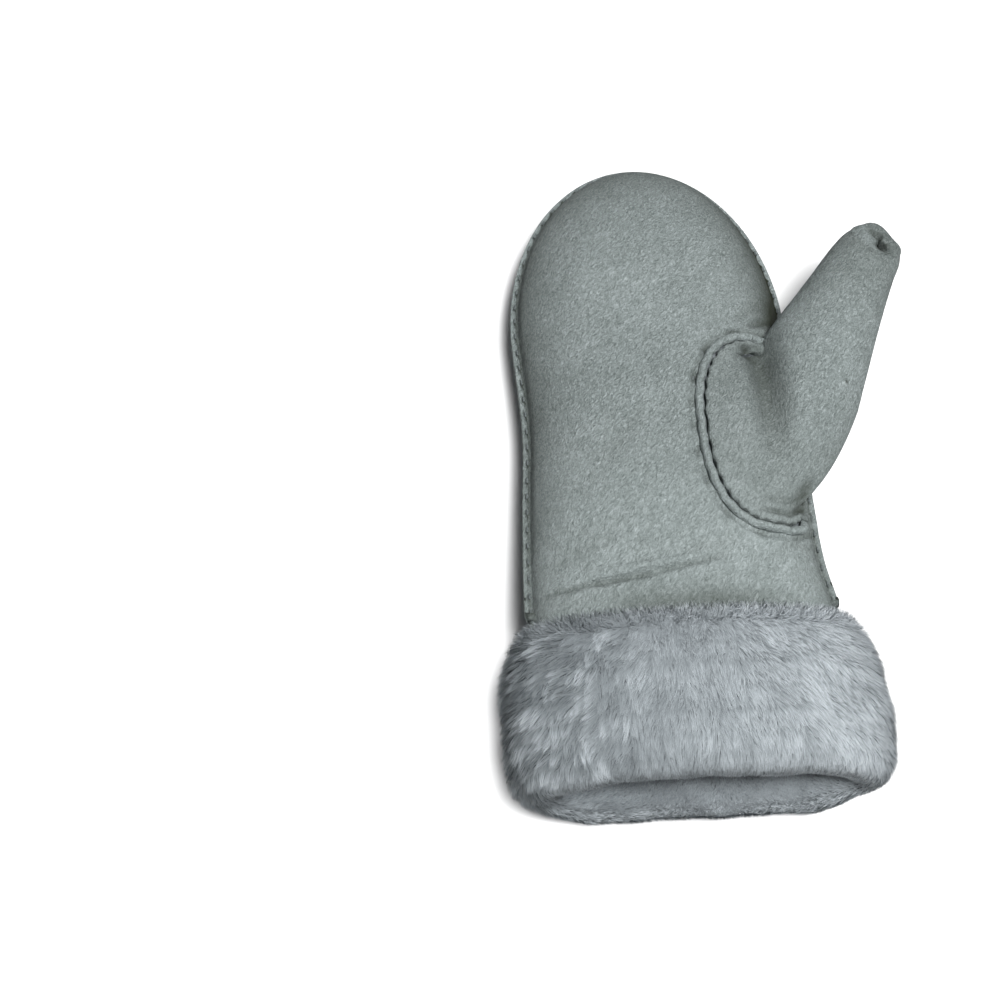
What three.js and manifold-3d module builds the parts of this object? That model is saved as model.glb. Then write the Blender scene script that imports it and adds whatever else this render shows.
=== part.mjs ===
// A fleece-lined sheepskin mitten for the right hand, lying on its back with the palm up.
// Two suede panels are sewn edge to edge round the hand, and a suede thumb is sewn into a hole in
// the palm. Fleece lines the hand. At the wrist the skin is turned back over the outside, so that
// the cuff shows its fleece, which rolls over the mouth into the hand.
//
// Millimetres. X runs across the hand towards the thumb, Y from the mouth to the fingertips, and Z
// up from the surface that the mitten lies on. The origin is on that surface, under the palm.
import * as THREE from "three";
import { mergeVertices } from "three/addons/utils/BufferGeometryUtils.js";
import Module from "manifold-3d";

const wasm = await Module();
wasm.setup();

// Thicknesses and clearances.
const SUEDE = 2;
const CUFF_SKIN = 1.5;
const LINING = 7;
const GAP = 0.3;
const CUFF_GAP = 0.55;

// Lengths along the hand. The panels end inside the roll of the cuff, at HEM_Y.
const HEM_Y = -126;
const LINING_END_Y = -111.7;
const CUFF_EDGE_Y = -74;
const KNUCKLE_Y = 60;
const FINGERTIP_Y = 138.5;

// The hand at the stitch line, one row for each cross-section. Beyond the knuckles the outline is
// half an ellipse, and only the seam's height is read.
const HAND = [
  { y: HEM_Y, left: -55.5, right: 56, bottom: 14, seam: 28, top: 45 },
  { y: -72, left: -56.5, right: 54.2, bottom: 14, seam: 27, top: 46 },
  { y: -50, left: -56, right: 51.5, bottom: 8, seam: 24, top: 46.5 },
  { y: -20, left: -54.5, right: 51.5, bottom: 0, seam: 20, top: 47 },
  { y: 15, left: -52.5, right: 52, bottom: 0, seam: 18, top: 46.5 },
  { y: KNUCKLE_Y, left: -54.5, right: 51.5, bottom: 0, seam: 16.5, top: 44 },
  { y: FINGERTIP_Y, left: -54.5, right: 51.5, bottom: 0, seam: 15, top: 44 },
];

// Roundness of the cross-section, as the powers of a superellipse. The back is flat where it lies.
const ROUND_ACROSS = 2.4;
const ROUND_UP = 2.1;
const BACK_FLATNESS = 1.25;

// Side seam: the raw edges of both panels stand out past the stitches. They are trimmed away where
// the cuff covers them.
const SEAM_WIDTH = 2.5;
const SEAM_TRIM = { full: -64, gone: CUFF_EDGE_Y, left: -0.7 };

// Creases pressed into the palm above the cuff: where each crosses the hand's middle, how much it
// slants, its depth, its reach along the hand and how far it runs to each side of `x`.
const CREASES = [
  { x: -6, y: -62, slant: 0.1, deep: 1.1, reach: 6, run: 42 },
  { x: 22, y: -47, slant: -0.16, deep: 0.7, reach: 7, run: 30 },
];

// Thumb hole: the split line between the two raw edges, as a superellipse on the palm, fuller at
// the wrist end. `edge` is as far round as it reaches, where its corner is rounded by `round`.
const HOLE = { x: 36.5, y: -0.2, across: 24, along: 40.2, power: 2.5, crotch: 2.42, edge: 0.93, round: 13 };
const LIP = { wide: 2.6, high: 2.4, sunk: 0.9, gap: 0.4 };

// Thumb, one row for each cross-section: `on` is the place along the thumb, `turn` how far the
// thumb's axis points from +Y towards +X, `lift` how far it points up, and `wide` and `deep` are
// half sizes across it and from its back to its front.
const THUMB = [
  { on: 0, x: 36.5, y: 0, z: 39, turn: 88, lift: 64, wide: 39, deep: 22 },
  { on: 0.16, x: 45, y: 6.5, z: 36, turn: 66, lift: 46, wide: 34, deep: 19.5 },
  { on: 0.36, x: 55, y: 22.6, z: 36, turn: 44, lift: 22, wide: 24.4, deep: 16 },
  { on: 0.55, x: 64.8, y: 39.8, z: 38, turn: 38, lift: 14, wide: 20, deep: 15 },
  { on: 0.72, x: 74.6, y: 56.4, z: 41, turn: 37, lift: 14, wide: 16.4, deep: 13.8 },
  { on: 0.86, x: 83.4, y: 71, z: 43.4, turn: 37, lift: 20, wide: 13.6, deep: 12 },
  { on: 0.94, x: 87.4, y: 76.8, z: 45.8, turn: 38, lift: 46, wide: 11.8, deep: 10.8 },
  { on: 1, x: 88.8, y: 77.4, z: 48.6, turn: 40, lift: 74, wide: 9.8, deep: 8.8 },
];
const THUMB_ROOT = 12;
const GATHER = { count: 5, deep: 0.1, from: 0.86, neck: 0.42, cap: 3.8, sunk: 3.4 };

// Cuff roll: the outline of the fleece in section, from the turned-back edge over the outside,
// round the mouth and in to the lining. `out` is measured from the suede.
const ROLL = [
  { out: 2.9, y: CUFF_EDGE_Y - 0.6 },
  { out: 5.2, y: -75.6 },
  { out: 9.6, y: -82 },
  { out: 12.2, y: -92 },
  { out: 13.2, y: -104 },
  { out: 13.2, y: -117 },
  { out: 11.4, y: -128.6 },
  { out: 6.8, y: -135.6 },
  { out: 1.2, y: -137.4 },
  { out: -4, y: -135 },
  { out: -7.6, y: -129 },
  { out: -9.2, y: -121 },
  { out: -9.3, y: LINING_END_Y - GAP },
];
const LOCKS = { round: 28, rows: 7, high: 2, uneven: 0.45, seed: 7 };

const SUEDE_GREY = 0x929c9d;
const FLEECE_GREY = 0xa4abb2;

const suede = () =>
  new THREE.MeshStandardMaterial({ color: SUEDE_GREY, roughness: 0.95, metalness: 0 });
const fleece = () =>
  new THREE.MeshStandardMaterial({ color: FLEECE_GREY, roughness: 1, metalness: 0 });

// Mesh densities: stations along each side and round the fingertips, and points up each quarter of
// a cross-section.
const SIDE_ROWS = [HEM_Y, -112, -98, -85, CUFF_EDGE_Y, -64, -51, -36, -20, -4, 12, 28, 44, KNUCKLE_Y];
const TIP_STEPS = 14;
const PALM_STEPS = 8;
const BACK_STEPS = 7;
const LINING_STEPS = 5;
const THUMB_ROWS = 13;
const THUMB_POINTS = 18;
const LIP_STEPS = 32;

const radians = THREE.MathUtils.degToRad;
const power = (value, exponent) =>
  value < 1e-9 ? 0 : value ** exponent;
const signedPower = (value, exponent) =>
  Math.sign(value) * power(Math.abs(value), exponent);

// A smooth function through the rows of a table, read by the column `key`.
function smoothTable(rows, key) {
  const names = Object.keys(rows[0]);
  const places = rows.map((row) => row[key]);
  const values = rows.flatMap((row) => names.map((name) => row[name]));
  const cubic = new THREE.CubicInterpolant(places, values, names.length);
  return (place) => {
    const found = cubic.evaluate(place);
    return Object.fromEntries(names.map((name, n) => [name, found[n]]));
  };
}

const handAt = smoothTable(HAND, "y");
const thumbAt = smoothTable(THUMB, "on");

// A closed solid from loose triangles: shared corners are merged, collapsed faces are dropped, and
// the faces are turned to point out.
function solid(triangles) {
  const soup = new THREE.BufferGeometry().setAttribute(
    "position",
    new THREE.Float32BufferAttribute(triangles.flat().flatMap((p) => p.toArray()), 3),
  );
  const merged = mergeVertices(soup, 1e-3);
  const corners = merged.index.array;
  const faces = [];
  for (let n = 0; n < corners.length; n += 3) {
    const face = [corners[n], corners[n + 1], corners[n + 2]];
    if (new Set(face).size === 3) faces.push(face);
  }
  const at = merged.getAttribute("position");
  const point = (n) => new THREE.Vector3().fromBufferAttribute(at, n);
  const volume = faces.reduce(
    (sum, [a, b, c]) => sum + point(a).dot(point(b).cross(point(c))),
    0,
  );
  if (volume < 0) faces.forEach((face) => face.reverse());
  return new wasm.Manifold(
    new wasm.Mesh({
      numProp: 3,
      vertProperties: new Float32Array(at.array),
      triVerts: new Uint32Array(faces.flat()),
    }),
  );
}

function quad(a, b, c, d) {
  return [[a, b, c], [a, c, d]];
}

// The faces of a grid of points, a list of rows. `wrap` joins the last row to the first.
function gridFaces(rows, wrap = false) {
  const faces = [];
  const last = wrap ? rows.length : rows.length - 1;
  for (let i = 0; i < last; i++) {
    const here = rows[i];
    const next = rows[(i + 1) % rows.length];
    for (let j = 0; j + 1 < here.length; j++)
      faces.push(...quad(here[j], here[j + 1], next[j + 1], next[j]));
  }
  return faces;
}

// A solid between an upper and a lower sheet. Column 0 of both is the outer edge, and the last
// columns meet along the middle of the hand, where the two sides of each sheet join.
function sheetSolid(upper, lower) {
  const flipped = (faces) => faces.map((face) => [...face].reverse());
  const rim = upper.map((row, n) => [lower[n][0], row[0]]);
  return solid([
    ...gridFaces(upper),
    ...flipped(gridFaces(lower)),
    ...gridFaces(rim),
    ...flipped(gridFaces([upper[0], lower[0]])),
    ...gridFaces([upper.at(-1), lower.at(-1)]),
  ]);
}

// A tube through rings of points, closed at both ends by fans.
function loft(rings) {
  const closed = rings.map((ring) => [...ring, ring[0]]);
  const faces = gridFaces(closed);
  const caps = [rings[0], [...rings.at(-1)].reverse()];
  for (const ring of caps) {
    const middle = ring.reduce((sum, p) => sum.clone().add(p)).divideScalar(ring.length);
    ring.forEach((p, n) => faces.push([p, middle, ring[(n + 1) % ring.length]]));
  }
  return solid(faces);
}

// A band closed both ways: the section of each step is a closed ring, and the last step joins the
// first.
function closedBand(sections) {
  return solid(gridFaces(sections.map((ring) => [...ring, ring[0]]), true));
}

// Stations round the hand's outline, from the wrist on the little finger's side, over the
// fingertips and down the thumb's side.
function outlineStations(sideRows) {
  const tip = Array.from({ length: TIP_STEPS - 1 }, (_, n) => ({
    y: KNUCKLE_Y,
    angle: Math.PI * (1 - (n + 1) / TIP_STEPS),
  }));
  const side = (sign) => sideRows.map((y) => ({ y, side: sign }));
  return [...side(-1), ...tip, ...side(1).reverse()];
}

// A point of the hand's form, grown outwards by `grow`. `phi` climbs from the seam, at 0, to the
// middle of the palm or of the back, at a right angle.
function formPoint(station, phi, grow, onBack = false) {
  const across = power(Math.cos(phi), 2 / ROUND_ACROSS);
  const rise = power(Math.sin(phi), 2 / ROUND_UP);
  const at = handAt(station.y);
  const half = (at.right - at.left) / 2 + grow;
  const reach = FINGERTIP_Y - KNUCKLE_Y + grow;
  const round = station.angle !== undefined;
  const sideways = round ? Math.cos(station.angle) : station.side;
  const forwards = round ? Math.sin(station.angle) : 0;
  const x = (at.left + at.right) / 2 + across * half * sideways;
  const y = station.y + across * reach * forwards;
  const seam = handAt(y).seam;
  if (onBack) {
    const drop = Math.min(1, BACK_FLATNESS * rise) * (seam - Math.max(0, at.bottom) + grow);
    return new THREE.Vector3(x, y, Math.max(0, seam - drop));
  }
  return new THREE.Vector3(x, y, seam + rise * (at.top + grow - seam));
}

// A point at the seam's height, `grow` outside the outline and `up` above the seam.
function seamPoint(station, grow, up) {
  return formPoint(station, 0, grow).add(new THREE.Vector3(0, 0, up));
}

function seamWidth(y) {
  const share = THREE.MathUtils.smoothstep(y, SEAM_TRIM.gone, SEAM_TRIM.full);
  return THREE.MathUtils.lerp(SEAM_TRIM.left, SEAM_WIDTH, share);
}

function creaseDepth(x, y) {
  return CREASES.reduce((sum, crease) => {
    const along = (x - crease.x) / crease.run;
    const away = (y - crease.y - crease.slant * (x - crease.x)) / crease.reach;
    return sum + crease.deep * Math.exp(-(along ** 2) - away ** 2);
  }, 0);
}

const quarter = (steps) =>
  Array.from({ length: steps }, (_, n) => (Math.PI / 2) * ((n + 1) / steps));

// One panel: a wall of suede over half of the hand, with its raw edge standing out past the
// stitches. `facing` is 1 for the palm and -1 for the back.
function panel(facing, steps) {
  const stations = outlineStations(SIDE_ROWS);
  const angles = quarter(steps);
  const onBack = facing < 0;
  const outer = stations.map((station) => {
    const edge = seamWidth(formPoint(station, 0, 0).y);
    const wall = angles.map((phi) => {
      const p = formPoint(station, phi, 0, onBack);
      if (!onBack) p.z -= creaseDepth(p.x, p.y);
      return p;
    });
    const top = facing * (GAP / 2 + SUEDE);
    const root = Math.min(-GAP, edge - GAP);
    return [seamPoint(station, edge, top), seamPoint(station, root, top), ...wall];
  });
  const inner = stations.map((station) => {
    const edge = seamWidth(formPoint(station, 0, 0).y);
    const wall = angles.map((phi) => formPoint(station, phi, -SUEDE, onBack));
    const top = (facing * GAP) / 2;
    return [seamPoint(station, edge, top), seamPoint(station, -SUEDE, top), ...wall];
  });
  return onBack ? sheetSolid(inner, outer) : sheetSolid(outer, inner);
}

// The whole hand as one solid, grown outwards by `grow`, from `startY` to the fingertips.
function handSolid(grow, startY, steps, edgeWidth = 0) {
  const stations = outlineStations([startY, ...SIDE_ROWS.filter((y) => y > startY + 1)]);
  const angles = quarter(steps);
  const edgeHeight = edgeWidth ? GAP / 2 + SUEDE + grow : 0;
  const half = (onBack) =>
    stations.map((station) => {
      const sign = onBack ? -1 : 1;
      const edge = edgeWidth
        ? [seamPoint(station, edgeWidth + grow, sign * edgeHeight)]
        : [];
      const root = seamPoint(station, edgeWidth ? -GAP : grow, sign * edgeHeight);
      return [...edge, root, ...angles.map((phi) => formPoint(station, phi, grow, onBack))];
    });
  return sheetSolid(half(false), half(true));
}

// The fleece inside the hand, open at the wrist.
function liningSolid() {
  const outside = handSolid(-SUEDE - GAP, LINING_END_Y, BACK_STEPS);
  const inside = handSolid(-SUEDE - GAP - LINING, HEM_Y, LINING_STEPS);
  return outside.subtract(inside);
}

// A point of the cuff, `out` from the suede at `y`. `angle` starts at the thumb's side and runs
// over the palm.
function cuffPoint(angle, y, out) {
  const within = angle % (2 * Math.PI);
  const station = { y, side: Math.cos(within) >= 0 ? 1 : -1 };
  const phi = Math.asin(Math.min(1, Math.abs(Math.sin(within))));
  return formPoint(station, phi, out, Math.sin(within) < 0);
}

// Angles round the wrist that space the locks evenly along the cuff's outside.
function evenAngles(count) {
  const { out, y } = ROLL[4];
  const fine = 720;
  const points = Array.from({ length: fine + 1 }, (_, n) => cuffPoint((n / fine) * 2 * Math.PI, y, out));
  const run = [0];
  for (let n = 1; n <= fine; n++) run.push(run[n - 1] + points[n].distanceTo(points[n - 1]));
  return Array.from({ length: count }, (_, k) => {
    const wanted = (run[fine] * k) / count;
    const n = run.findIndex((length) => length >= wanted);
    return (n / fine) * 2 * Math.PI;
  });
}

// The turned-back skin that carries the cuff's fleece.
function cuffSkinSolid() {
  const places = [HEM_Y, -98, CUFF_EDGE_Y];
  const around = evenAngles(2 * LOCKS.round).map((angle) => [
    ...places.map((y) => cuffPoint(angle, y, CUFF_GAP)),
    ...places.map((y) => cuffPoint(angle, y, CUFF_GAP + CUFF_SKIN)).reverse(),
  ]);
  return closedBand(around);
}

// A point of the palm's outside above `x`, `y`, with the surface's normal there.
function palmPoint(x, y) {
  const height = (px, py) => {
    const at = handAt(py);
    const half = (at.right - at.left) / 2;
    const t = Math.min(1, Math.abs(px - (at.left + at.right) / 2) / half);
    const rise = power(1 - t ** ROUND_ACROSS, 1 / ROUND_UP);
    return at.seam + rise * (at.top - at.seam);
  };
  const step = 0.5;
  const normal = new THREE.Vector3(
    height(x - step, y) - height(x + step, y),
    height(x, y - step) - height(x, y + step),
    2 * step,
  ).normalize();
  return { point: new THREE.Vector3(x, y, height(x, y)), normal };
}

// A point of the thumb hole's split line, moved `inset` towards the hole's middle. `psi` starts at
// the wrist end and runs by the palm's middle to the crotch of the thumb.
function holePoint(psi, inset = 0) {
  const roundness = Math.cos(psi) > 0 ? HOLE.power : HOLE.crotch;
  const across = (HOLE.across - inset) * signedPower(Math.sin(psi), 2 / roundness);
  const along = (HOLE.along - inset) * signedPower(Math.cos(psi), 2 / roundness);
  const y = HOLE.y - along;
  const at = handAt(y);
  const middle = (at.left + at.right) / 2;
  const edge = middle + (HOLE.edge * (at.right - at.left)) / 2 - inset;
  const x = HOLE.x - across;
  const near = Math.max(0, HOLE.round - Math.abs(x - edge)) / HOLE.round;
  return palmPoint(Math.min(x, edge) - (near ** 2 * HOLE.round) / 4, y);
}

// One raw edge of the thumb seam, a low ridge beside the split line, grown outwards by `grow`.
// `side` is 1 outside the split, on the palm, and -1 inside it, on the thumb.
function lipSolid(side, grow = 0) {
  const away = (LIP.gap + LIP.wide) / 2;
  const half = LIP.wide / 2 + grow;
  const high = LIP.high + grow;
  const ridge = [
    [-half, -LIP.sunk],
    [-half, high * 0.7],
    [0, high],
    [half, high * 0.6],
    [half, -LIP.sunk],
  ];
  const sections = Array.from({ length: LIP_STEPS }, (_, n) => {
    const psi = (2 * Math.PI * n) / LIP_STEPS;
    const { point, normal } = holePoint(psi, -side * away);
    const ahead = holePoint(psi + 0.02, -side * away).point;
    const outwards = ahead.sub(point).cross(normal).normalize();
    return ridge.map(([across, up]) =>
      point.clone().addScaledVector(outwards, side * across).addScaledVector(normal, up),
    );
  });
  return closedBand(sections);
}

// A point of the thumb's surface: the base follows the hole, and the rest its own cross-sections.
// Near the tip the suede is drawn up into a few pleats.
function thumbPoint(on, psi, inset, shrink = 1) {
  const row = thumbAt(Math.max(0, on));
  const turn = radians(row.turn);
  const lift = radians(row.lift);
  const u = new THREE.Vector3(Math.cos(turn), -Math.sin(turn), 0);
  const axis = new THREE.Vector3(
    Math.sin(turn) * Math.cos(lift),
    Math.cos(turn) * Math.cos(lift),
    Math.sin(lift),
  );
  const v = u.clone().cross(axis);
  const pleats = THREE.MathUtils.smoothstep(on, GATHER.from, 1);
  const pleated = shrink * (1 - GATHER.deep * pleats * Math.cos(GATHER.count * psi));
  const free = new THREE.Vector3(row.x, row.y, row.z)
    .addScaledVector(u, (row.wide - inset) * pleated * Math.cos(psi))
    .addScaledVector(v, (row.deep - inset) * pleated * Math.sin(psi));
  const sewn = holePoint(psi, LIP.gap / 2 + LIP.wide - GAP + inset);
  const base = sewn.point.addScaledVector(sewn.normal, Math.min(0, on) * THUMB_ROOT);
  return base.lerp(free, THREE.MathUtils.smoothstep(on, 0, 0.4));
}

function thumbAxis() {
  const { turn, lift } = THUMB.at(-1);
  const level = Math.cos(radians(lift));
  return new THREE.Vector3(
    Math.sin(radians(turn)) * level,
    Math.cos(radians(turn)) * level,
    Math.sin(radians(lift)),
  );
}

// The thumb as a closed form. The outside ends in a drawn-up dimple, the inside in a plain dome.
function thumbForm(inset, dimpled) {
  const ring = (on, shrink, forwards) =>
    Array.from({ length: THUMB_POINTS }, (_, n) => {
      const psi = (2 * Math.PI * n) / THUMB_POINTS;
      return thumbPoint(on, psi, inset, shrink).addScaledVector(thumbAxis(), forwards);
    });
  const rows = Array.from({ length: THUMB_ROWS + 1 }, (_, n) => ring(n / THUMB_ROWS, 1, 0));
  const root = ring(-1, 1, 0);
  const cap = GATHER.cap - inset;
  const neck = ring(1, GATHER.neck + 0.25, cap * 0.75);
  const lip = ring(1, GATHER.neck, cap);
  const dimple = ring(1, 0.1, dimpled ? cap - GATHER.sunk : cap);
  return loft([root, ...rows, neck, lip, dimple]);
}

// A repeatable number from 0 to 1 for each lock.
function lockChance(column, row) {
  const mixed = Math.sin(column * 12.9898 + row * 78.233 + LOCKS.seed) * 43758.5453;
  return mixed - Math.floor(mixed);
}

// How far a lock of fleece stands out: it swells from its root to its tip, drops to the next row,
// and is lower where it meets its neighbours. Rows are staggered by half a lock.
function lockHeight(column, row) {
  const lockRow = Math.floor(row / 3);
  const swell = [0, 0.75, 1][row % 3];
  const shifted = column + (lockRow % 2);
  const middle = shifted % 2 === 0 ? 1 : 0.3;
  const chance = lockChance(Math.floor(shifted / 2) % LOCKS.round, lockRow);
  return LOCKS.high * swell * middle * (1 - LOCKS.uneven * chance);
}

// The cuff's fleece: locks fused to a backing that wraps the turned-back skin and the hem.
function cuffFleeceSolid() {
  const outline = new THREE.SplineCurve(ROLL.map(({ out, y }) => new THREE.Vector2(out, y)));
  const rows = 3 * LOCKS.rows;
  const shown = outline.getSpacedPoints(rows);
  const backing = CUFF_SKIN + 2 * CUFF_GAP;
  const inside = -SUEDE - CUFF_GAP;
  const hidden = [
    [inside, LINING_END_Y - GAP],
    [inside, HEM_Y - CUFF_GAP],
    [backing, HEM_Y - CUFF_GAP],
    [backing, -108],
    [backing, -92],
    [backing, CUFF_EDGE_Y - 3],
  ];
  const sections = evenAngles(2 * LOCKS.round).map((angle, column) => {
    const pile = shown.map((p, row) => {
      const ahead = shown[Math.min(row + 1, rows)];
      const behind = shown[Math.max(row - 1, 0)];
      const along = ahead.clone().sub(behind).normalize();
      const end = row === 0 || row === rows;
      const high = end ? 0 : lockHeight(column, row);
      return cuffPoint(angle, p.y + along.x * high, p.x - along.y * high);
    });
    return [...pile, ...hidden.map(([out, y]) => cuffPoint(angle, y, out))];
  });
  return closedBand(sections);
}

// The main body of a cut solid, without the slivers that a cut leaves.
function largestBody(made) {
  return made.decompose().reduce((big, body) => (body.volume() > big.volume() ? body : big));
}

// A named mesh from a solid.
function node(name, made, material) {
  const { numProp, vertProperties, triVerts } = made.getMesh();
  const at = new Float32Array((vertProperties.length / numProp) * 3);
  for (let n = 0; n < at.length / 3; n++)
    at.set(vertProperties.subarray(n * numProp, n * numProp + 3), n * 3);
  const geometry = new THREE.BufferGeometry()
    .setAttribute("position", new THREE.BufferAttribute(at, 3))
    .setIndex(new THREE.BufferAttribute(triVerts, 1));
  geometry.computeVertexNormals();
  const mesh = new THREE.Mesh(geometry, material);
  mesh.name = name;
  return mesh;
}

const thumbHollow = thumbForm(SUEDE, false);
const handKeepOut = handSolid(GAP, HEM_Y, PALM_STEPS, SEAM_WIDTH);

const palm = panel(1, PALM_STEPS).add(lipSolid(1)).subtract(thumbHollow);
const back = panel(-1, BACK_STEPS);
const thumb = largestBody(
  thumbForm(0, true)
    .add(lipSolid(-1))
    .subtract(thumbHollow)
    .subtract(handKeepOut)
    .subtract(lipSolid(1, GAP)),
);
const lining = liningSolid().subtract(thumbHollow);

const mitten = new THREE.Group();
mitten.add(
  node("palm_panel", palm, suede()),
  node("back_panel", back, suede()),
  node("thumb", thumb, suede()),
  node("lining_fleece", lining, fleece()),
  node("cuff_skin", cuffSkinSolid(), suede()),
  node("cuff_fleece", cuffFleeceSolid(), fleece()),
);

export default mitten;
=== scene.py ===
"""A fleece-lined sheepskin mitten for the right hand, lying on its back with the palm up.

Sizes in the tables are millimetres, in the frame of the solids: X across the hand towards the
thumb, Y from the cuff's mouth to the fingertips, Z up. A finished mesh is in metres.
"""

import math

import bmesh
import bpy
import numpy as np
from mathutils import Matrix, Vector


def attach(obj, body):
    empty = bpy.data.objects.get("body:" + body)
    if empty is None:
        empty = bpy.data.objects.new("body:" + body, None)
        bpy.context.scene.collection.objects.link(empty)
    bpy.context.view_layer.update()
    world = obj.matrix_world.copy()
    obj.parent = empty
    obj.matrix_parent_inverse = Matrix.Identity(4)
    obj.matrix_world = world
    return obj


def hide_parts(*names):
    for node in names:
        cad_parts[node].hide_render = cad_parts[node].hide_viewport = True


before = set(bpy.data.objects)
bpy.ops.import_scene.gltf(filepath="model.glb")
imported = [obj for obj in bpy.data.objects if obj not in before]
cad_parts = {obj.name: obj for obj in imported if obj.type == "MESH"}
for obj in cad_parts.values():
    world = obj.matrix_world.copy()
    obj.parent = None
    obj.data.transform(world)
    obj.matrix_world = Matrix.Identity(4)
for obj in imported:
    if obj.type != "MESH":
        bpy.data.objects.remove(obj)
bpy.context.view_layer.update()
bpy.ops.object.select_all(action="DESELECT")


# Camera. The photograph looks down over the cuff's mouth, a little from the little finger's side,
# and has the mitten in the right half of its frame.
VIEW_AIM = Vector((-0.0655, -0.0145, 0.020))
VIEW_AZIMUTH = math.radians(-3)
VIEW_ELEVATION = math.radians(64)
VIEW_DISTANCE = 0.600
VIEW_WIDTH = 0.385

towards_camera = Vector(
    (
        math.sin(VIEW_AZIMUTH) * math.cos(VIEW_ELEVATION),
        -math.cos(VIEW_AZIMUTH) * math.cos(VIEW_ELEVATION),
        math.sin(VIEW_ELEVATION),
    )
)
camera_data = bpy.data.cameras.new("camera")
camera_data.sensor_width = 36
camera_data.lens = camera_data.sensor_width * VIEW_DISTANCE / VIEW_WIDTH
camera_data.clip_start = 0.01
camera = bpy.data.objects.new("camera", camera_data)
camera.location = VIEW_AIM + towards_camera * VIEW_DISTANCE
camera.rotation_euler = towards_camera.to_track_quat("Z", "Y").to_euler()
bpy.context.scene.collection.objects.link(camera)
bpy.context.scene.camera = camera


# Studio. A pale table under one soft light high on the thumb's side, in a room that fills the
# shadows a little. A white backdrop stands round the table, and throws no light on the mitten.
class Shade:
    """A shader value. Arithmetic on it adds Math nodes to its material."""

    def __init__(self, tree, socket=None):
        self.tree = tree
        self.socket = socket

    def node(self, kind, settings=None, inputs=None, output=0):
        """Adds a node: its settings first, then the values or links of its sockets."""
        made = self.tree.nodes.new(kind)
        for name, value in (settings or {}).items():
            if name == "stops":
                ramp = made.color_ramp.elements
                while len(ramp) < len(value):
                    ramp.new(0.5)
                for element, (place, colour) in zip(ramp, value):
                    element.position = place
                    element.color = (*colour, 1)
            else:
                setattr(made, name, value)
        for name, value in (inputs or {}).items():
            if isinstance(value, Shade):
                self.tree.links.new(value.socket, made.inputs[name])
            else:
                made.inputs[name].default_value = value
        return Shade(self.tree, made.outputs[output])

    def maths(self, operation, *values):
        return self.node("ShaderNodeMath", {"operation": operation}, dict(enumerate(values)))

    def mix(self, factor, colour):
        """Mixes this colour with another: all this one at 0, all the other at 1."""
        settings = {"data_type": "RGBA"}
        return self.node("ShaderNodeMix", settings, {0: factor, 6: self, 7: colour}, output=2)

    def __add__(self, other):
        return self.maths("ADD", self, other)

    def __radd__(self, other):
        return self.maths("ADD", other, self)

    def __sub__(self, other):
        return self.maths("SUBTRACT", self, other)

    def __rsub__(self, other):
        return self.maths("SUBTRACT", other, self)

    def __mul__(self, other):
        return self.maths("MULTIPLY", self, other)

    def __rmul__(self, other):
        return self.maths("MULTIPLY", other, self)


def srgb(red, green, blue):
    """A colour in Blender's linear values, from the 0 to 255 values of a screen."""

    def linear(value):
        value = value / 255
        return value / 12.92 if value <= 0.04045 else ((value + 0.055) / 1.055) ** 2.4

    return (linear(red), linear(green), linear(blue), 1)


def new_material(name):
    """A material with one empty Principled shader. Returns the material, a Shade and the shader."""
    material = bpy.data.materials.new(name)
    material.use_nodes = True
    shader = material.node_tree.nodes["Principled BSDF"]
    return material, Shade(material.node_tree), shader


def feed(shade, shader, name):
    shade.tree.links.new(shade.socket, shader.inputs[name])


def soft_light(name, place, size, power):
    light_data = bpy.data.lights.new(name, "AREA")
    light_data.size = size
    light_data.energy = power
    light = bpy.data.objects.new(name, light_data)
    light.location = place
    light.rotation_euler = Vector(place).to_track_quat("Z", "Y").to_euler()
    bpy.context.scene.collection.objects.link(light)


bpy.ops.mesh.primitive_plane_add(size=1.9)
table_top = bpy.context.object
table_top.name = "table_top"
table_material, _, table_shader = new_material("white_table")
table_shader.inputs["Base Color"].default_value = srgb(226, 226, 226)
table_shader.inputs["Roughness"].default_value = 0.9
table_top.data.materials.append(table_material)

bpy.ops.mesh.primitive_uv_sphere_add(segments=48, ring_count=24, radius=4)
backdrop = bpy.context.object
backdrop.name = "backdrop"
backdrop_material, _, backdrop_shader = new_material("white_backdrop")
backdrop_shader.inputs["Base Color"].default_value = srgb(0, 0, 0)
backdrop_shader.inputs["Specular IOR Level"].default_value = 0
backdrop_shader.inputs["Emission Color"].default_value = srgb(252, 252, 252)
backdrop_shader.inputs["Emission Strength"].default_value = 1
backdrop.data.materials.append(backdrop_material)
backdrop.visible_diffuse = False
backdrop.visible_glossy = False
backdrop.visible_shadow = False

soft_light("window_light", (0.24, -0.34, 1.5), 0.45, 46)
walls = bpy.data.worlds.new("white_walls")
walls.use_nodes = True
walls.node_tree.nodes["Background"].inputs["Color"].default_value = srgb(247, 250, 255)
walls.node_tree.nodes["Background"].inputs["Strength"].default_value = 0.09
bpy.context.scene.world = walls
bpy.context.scene.view_settings.view_transform = "Standard"


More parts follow.
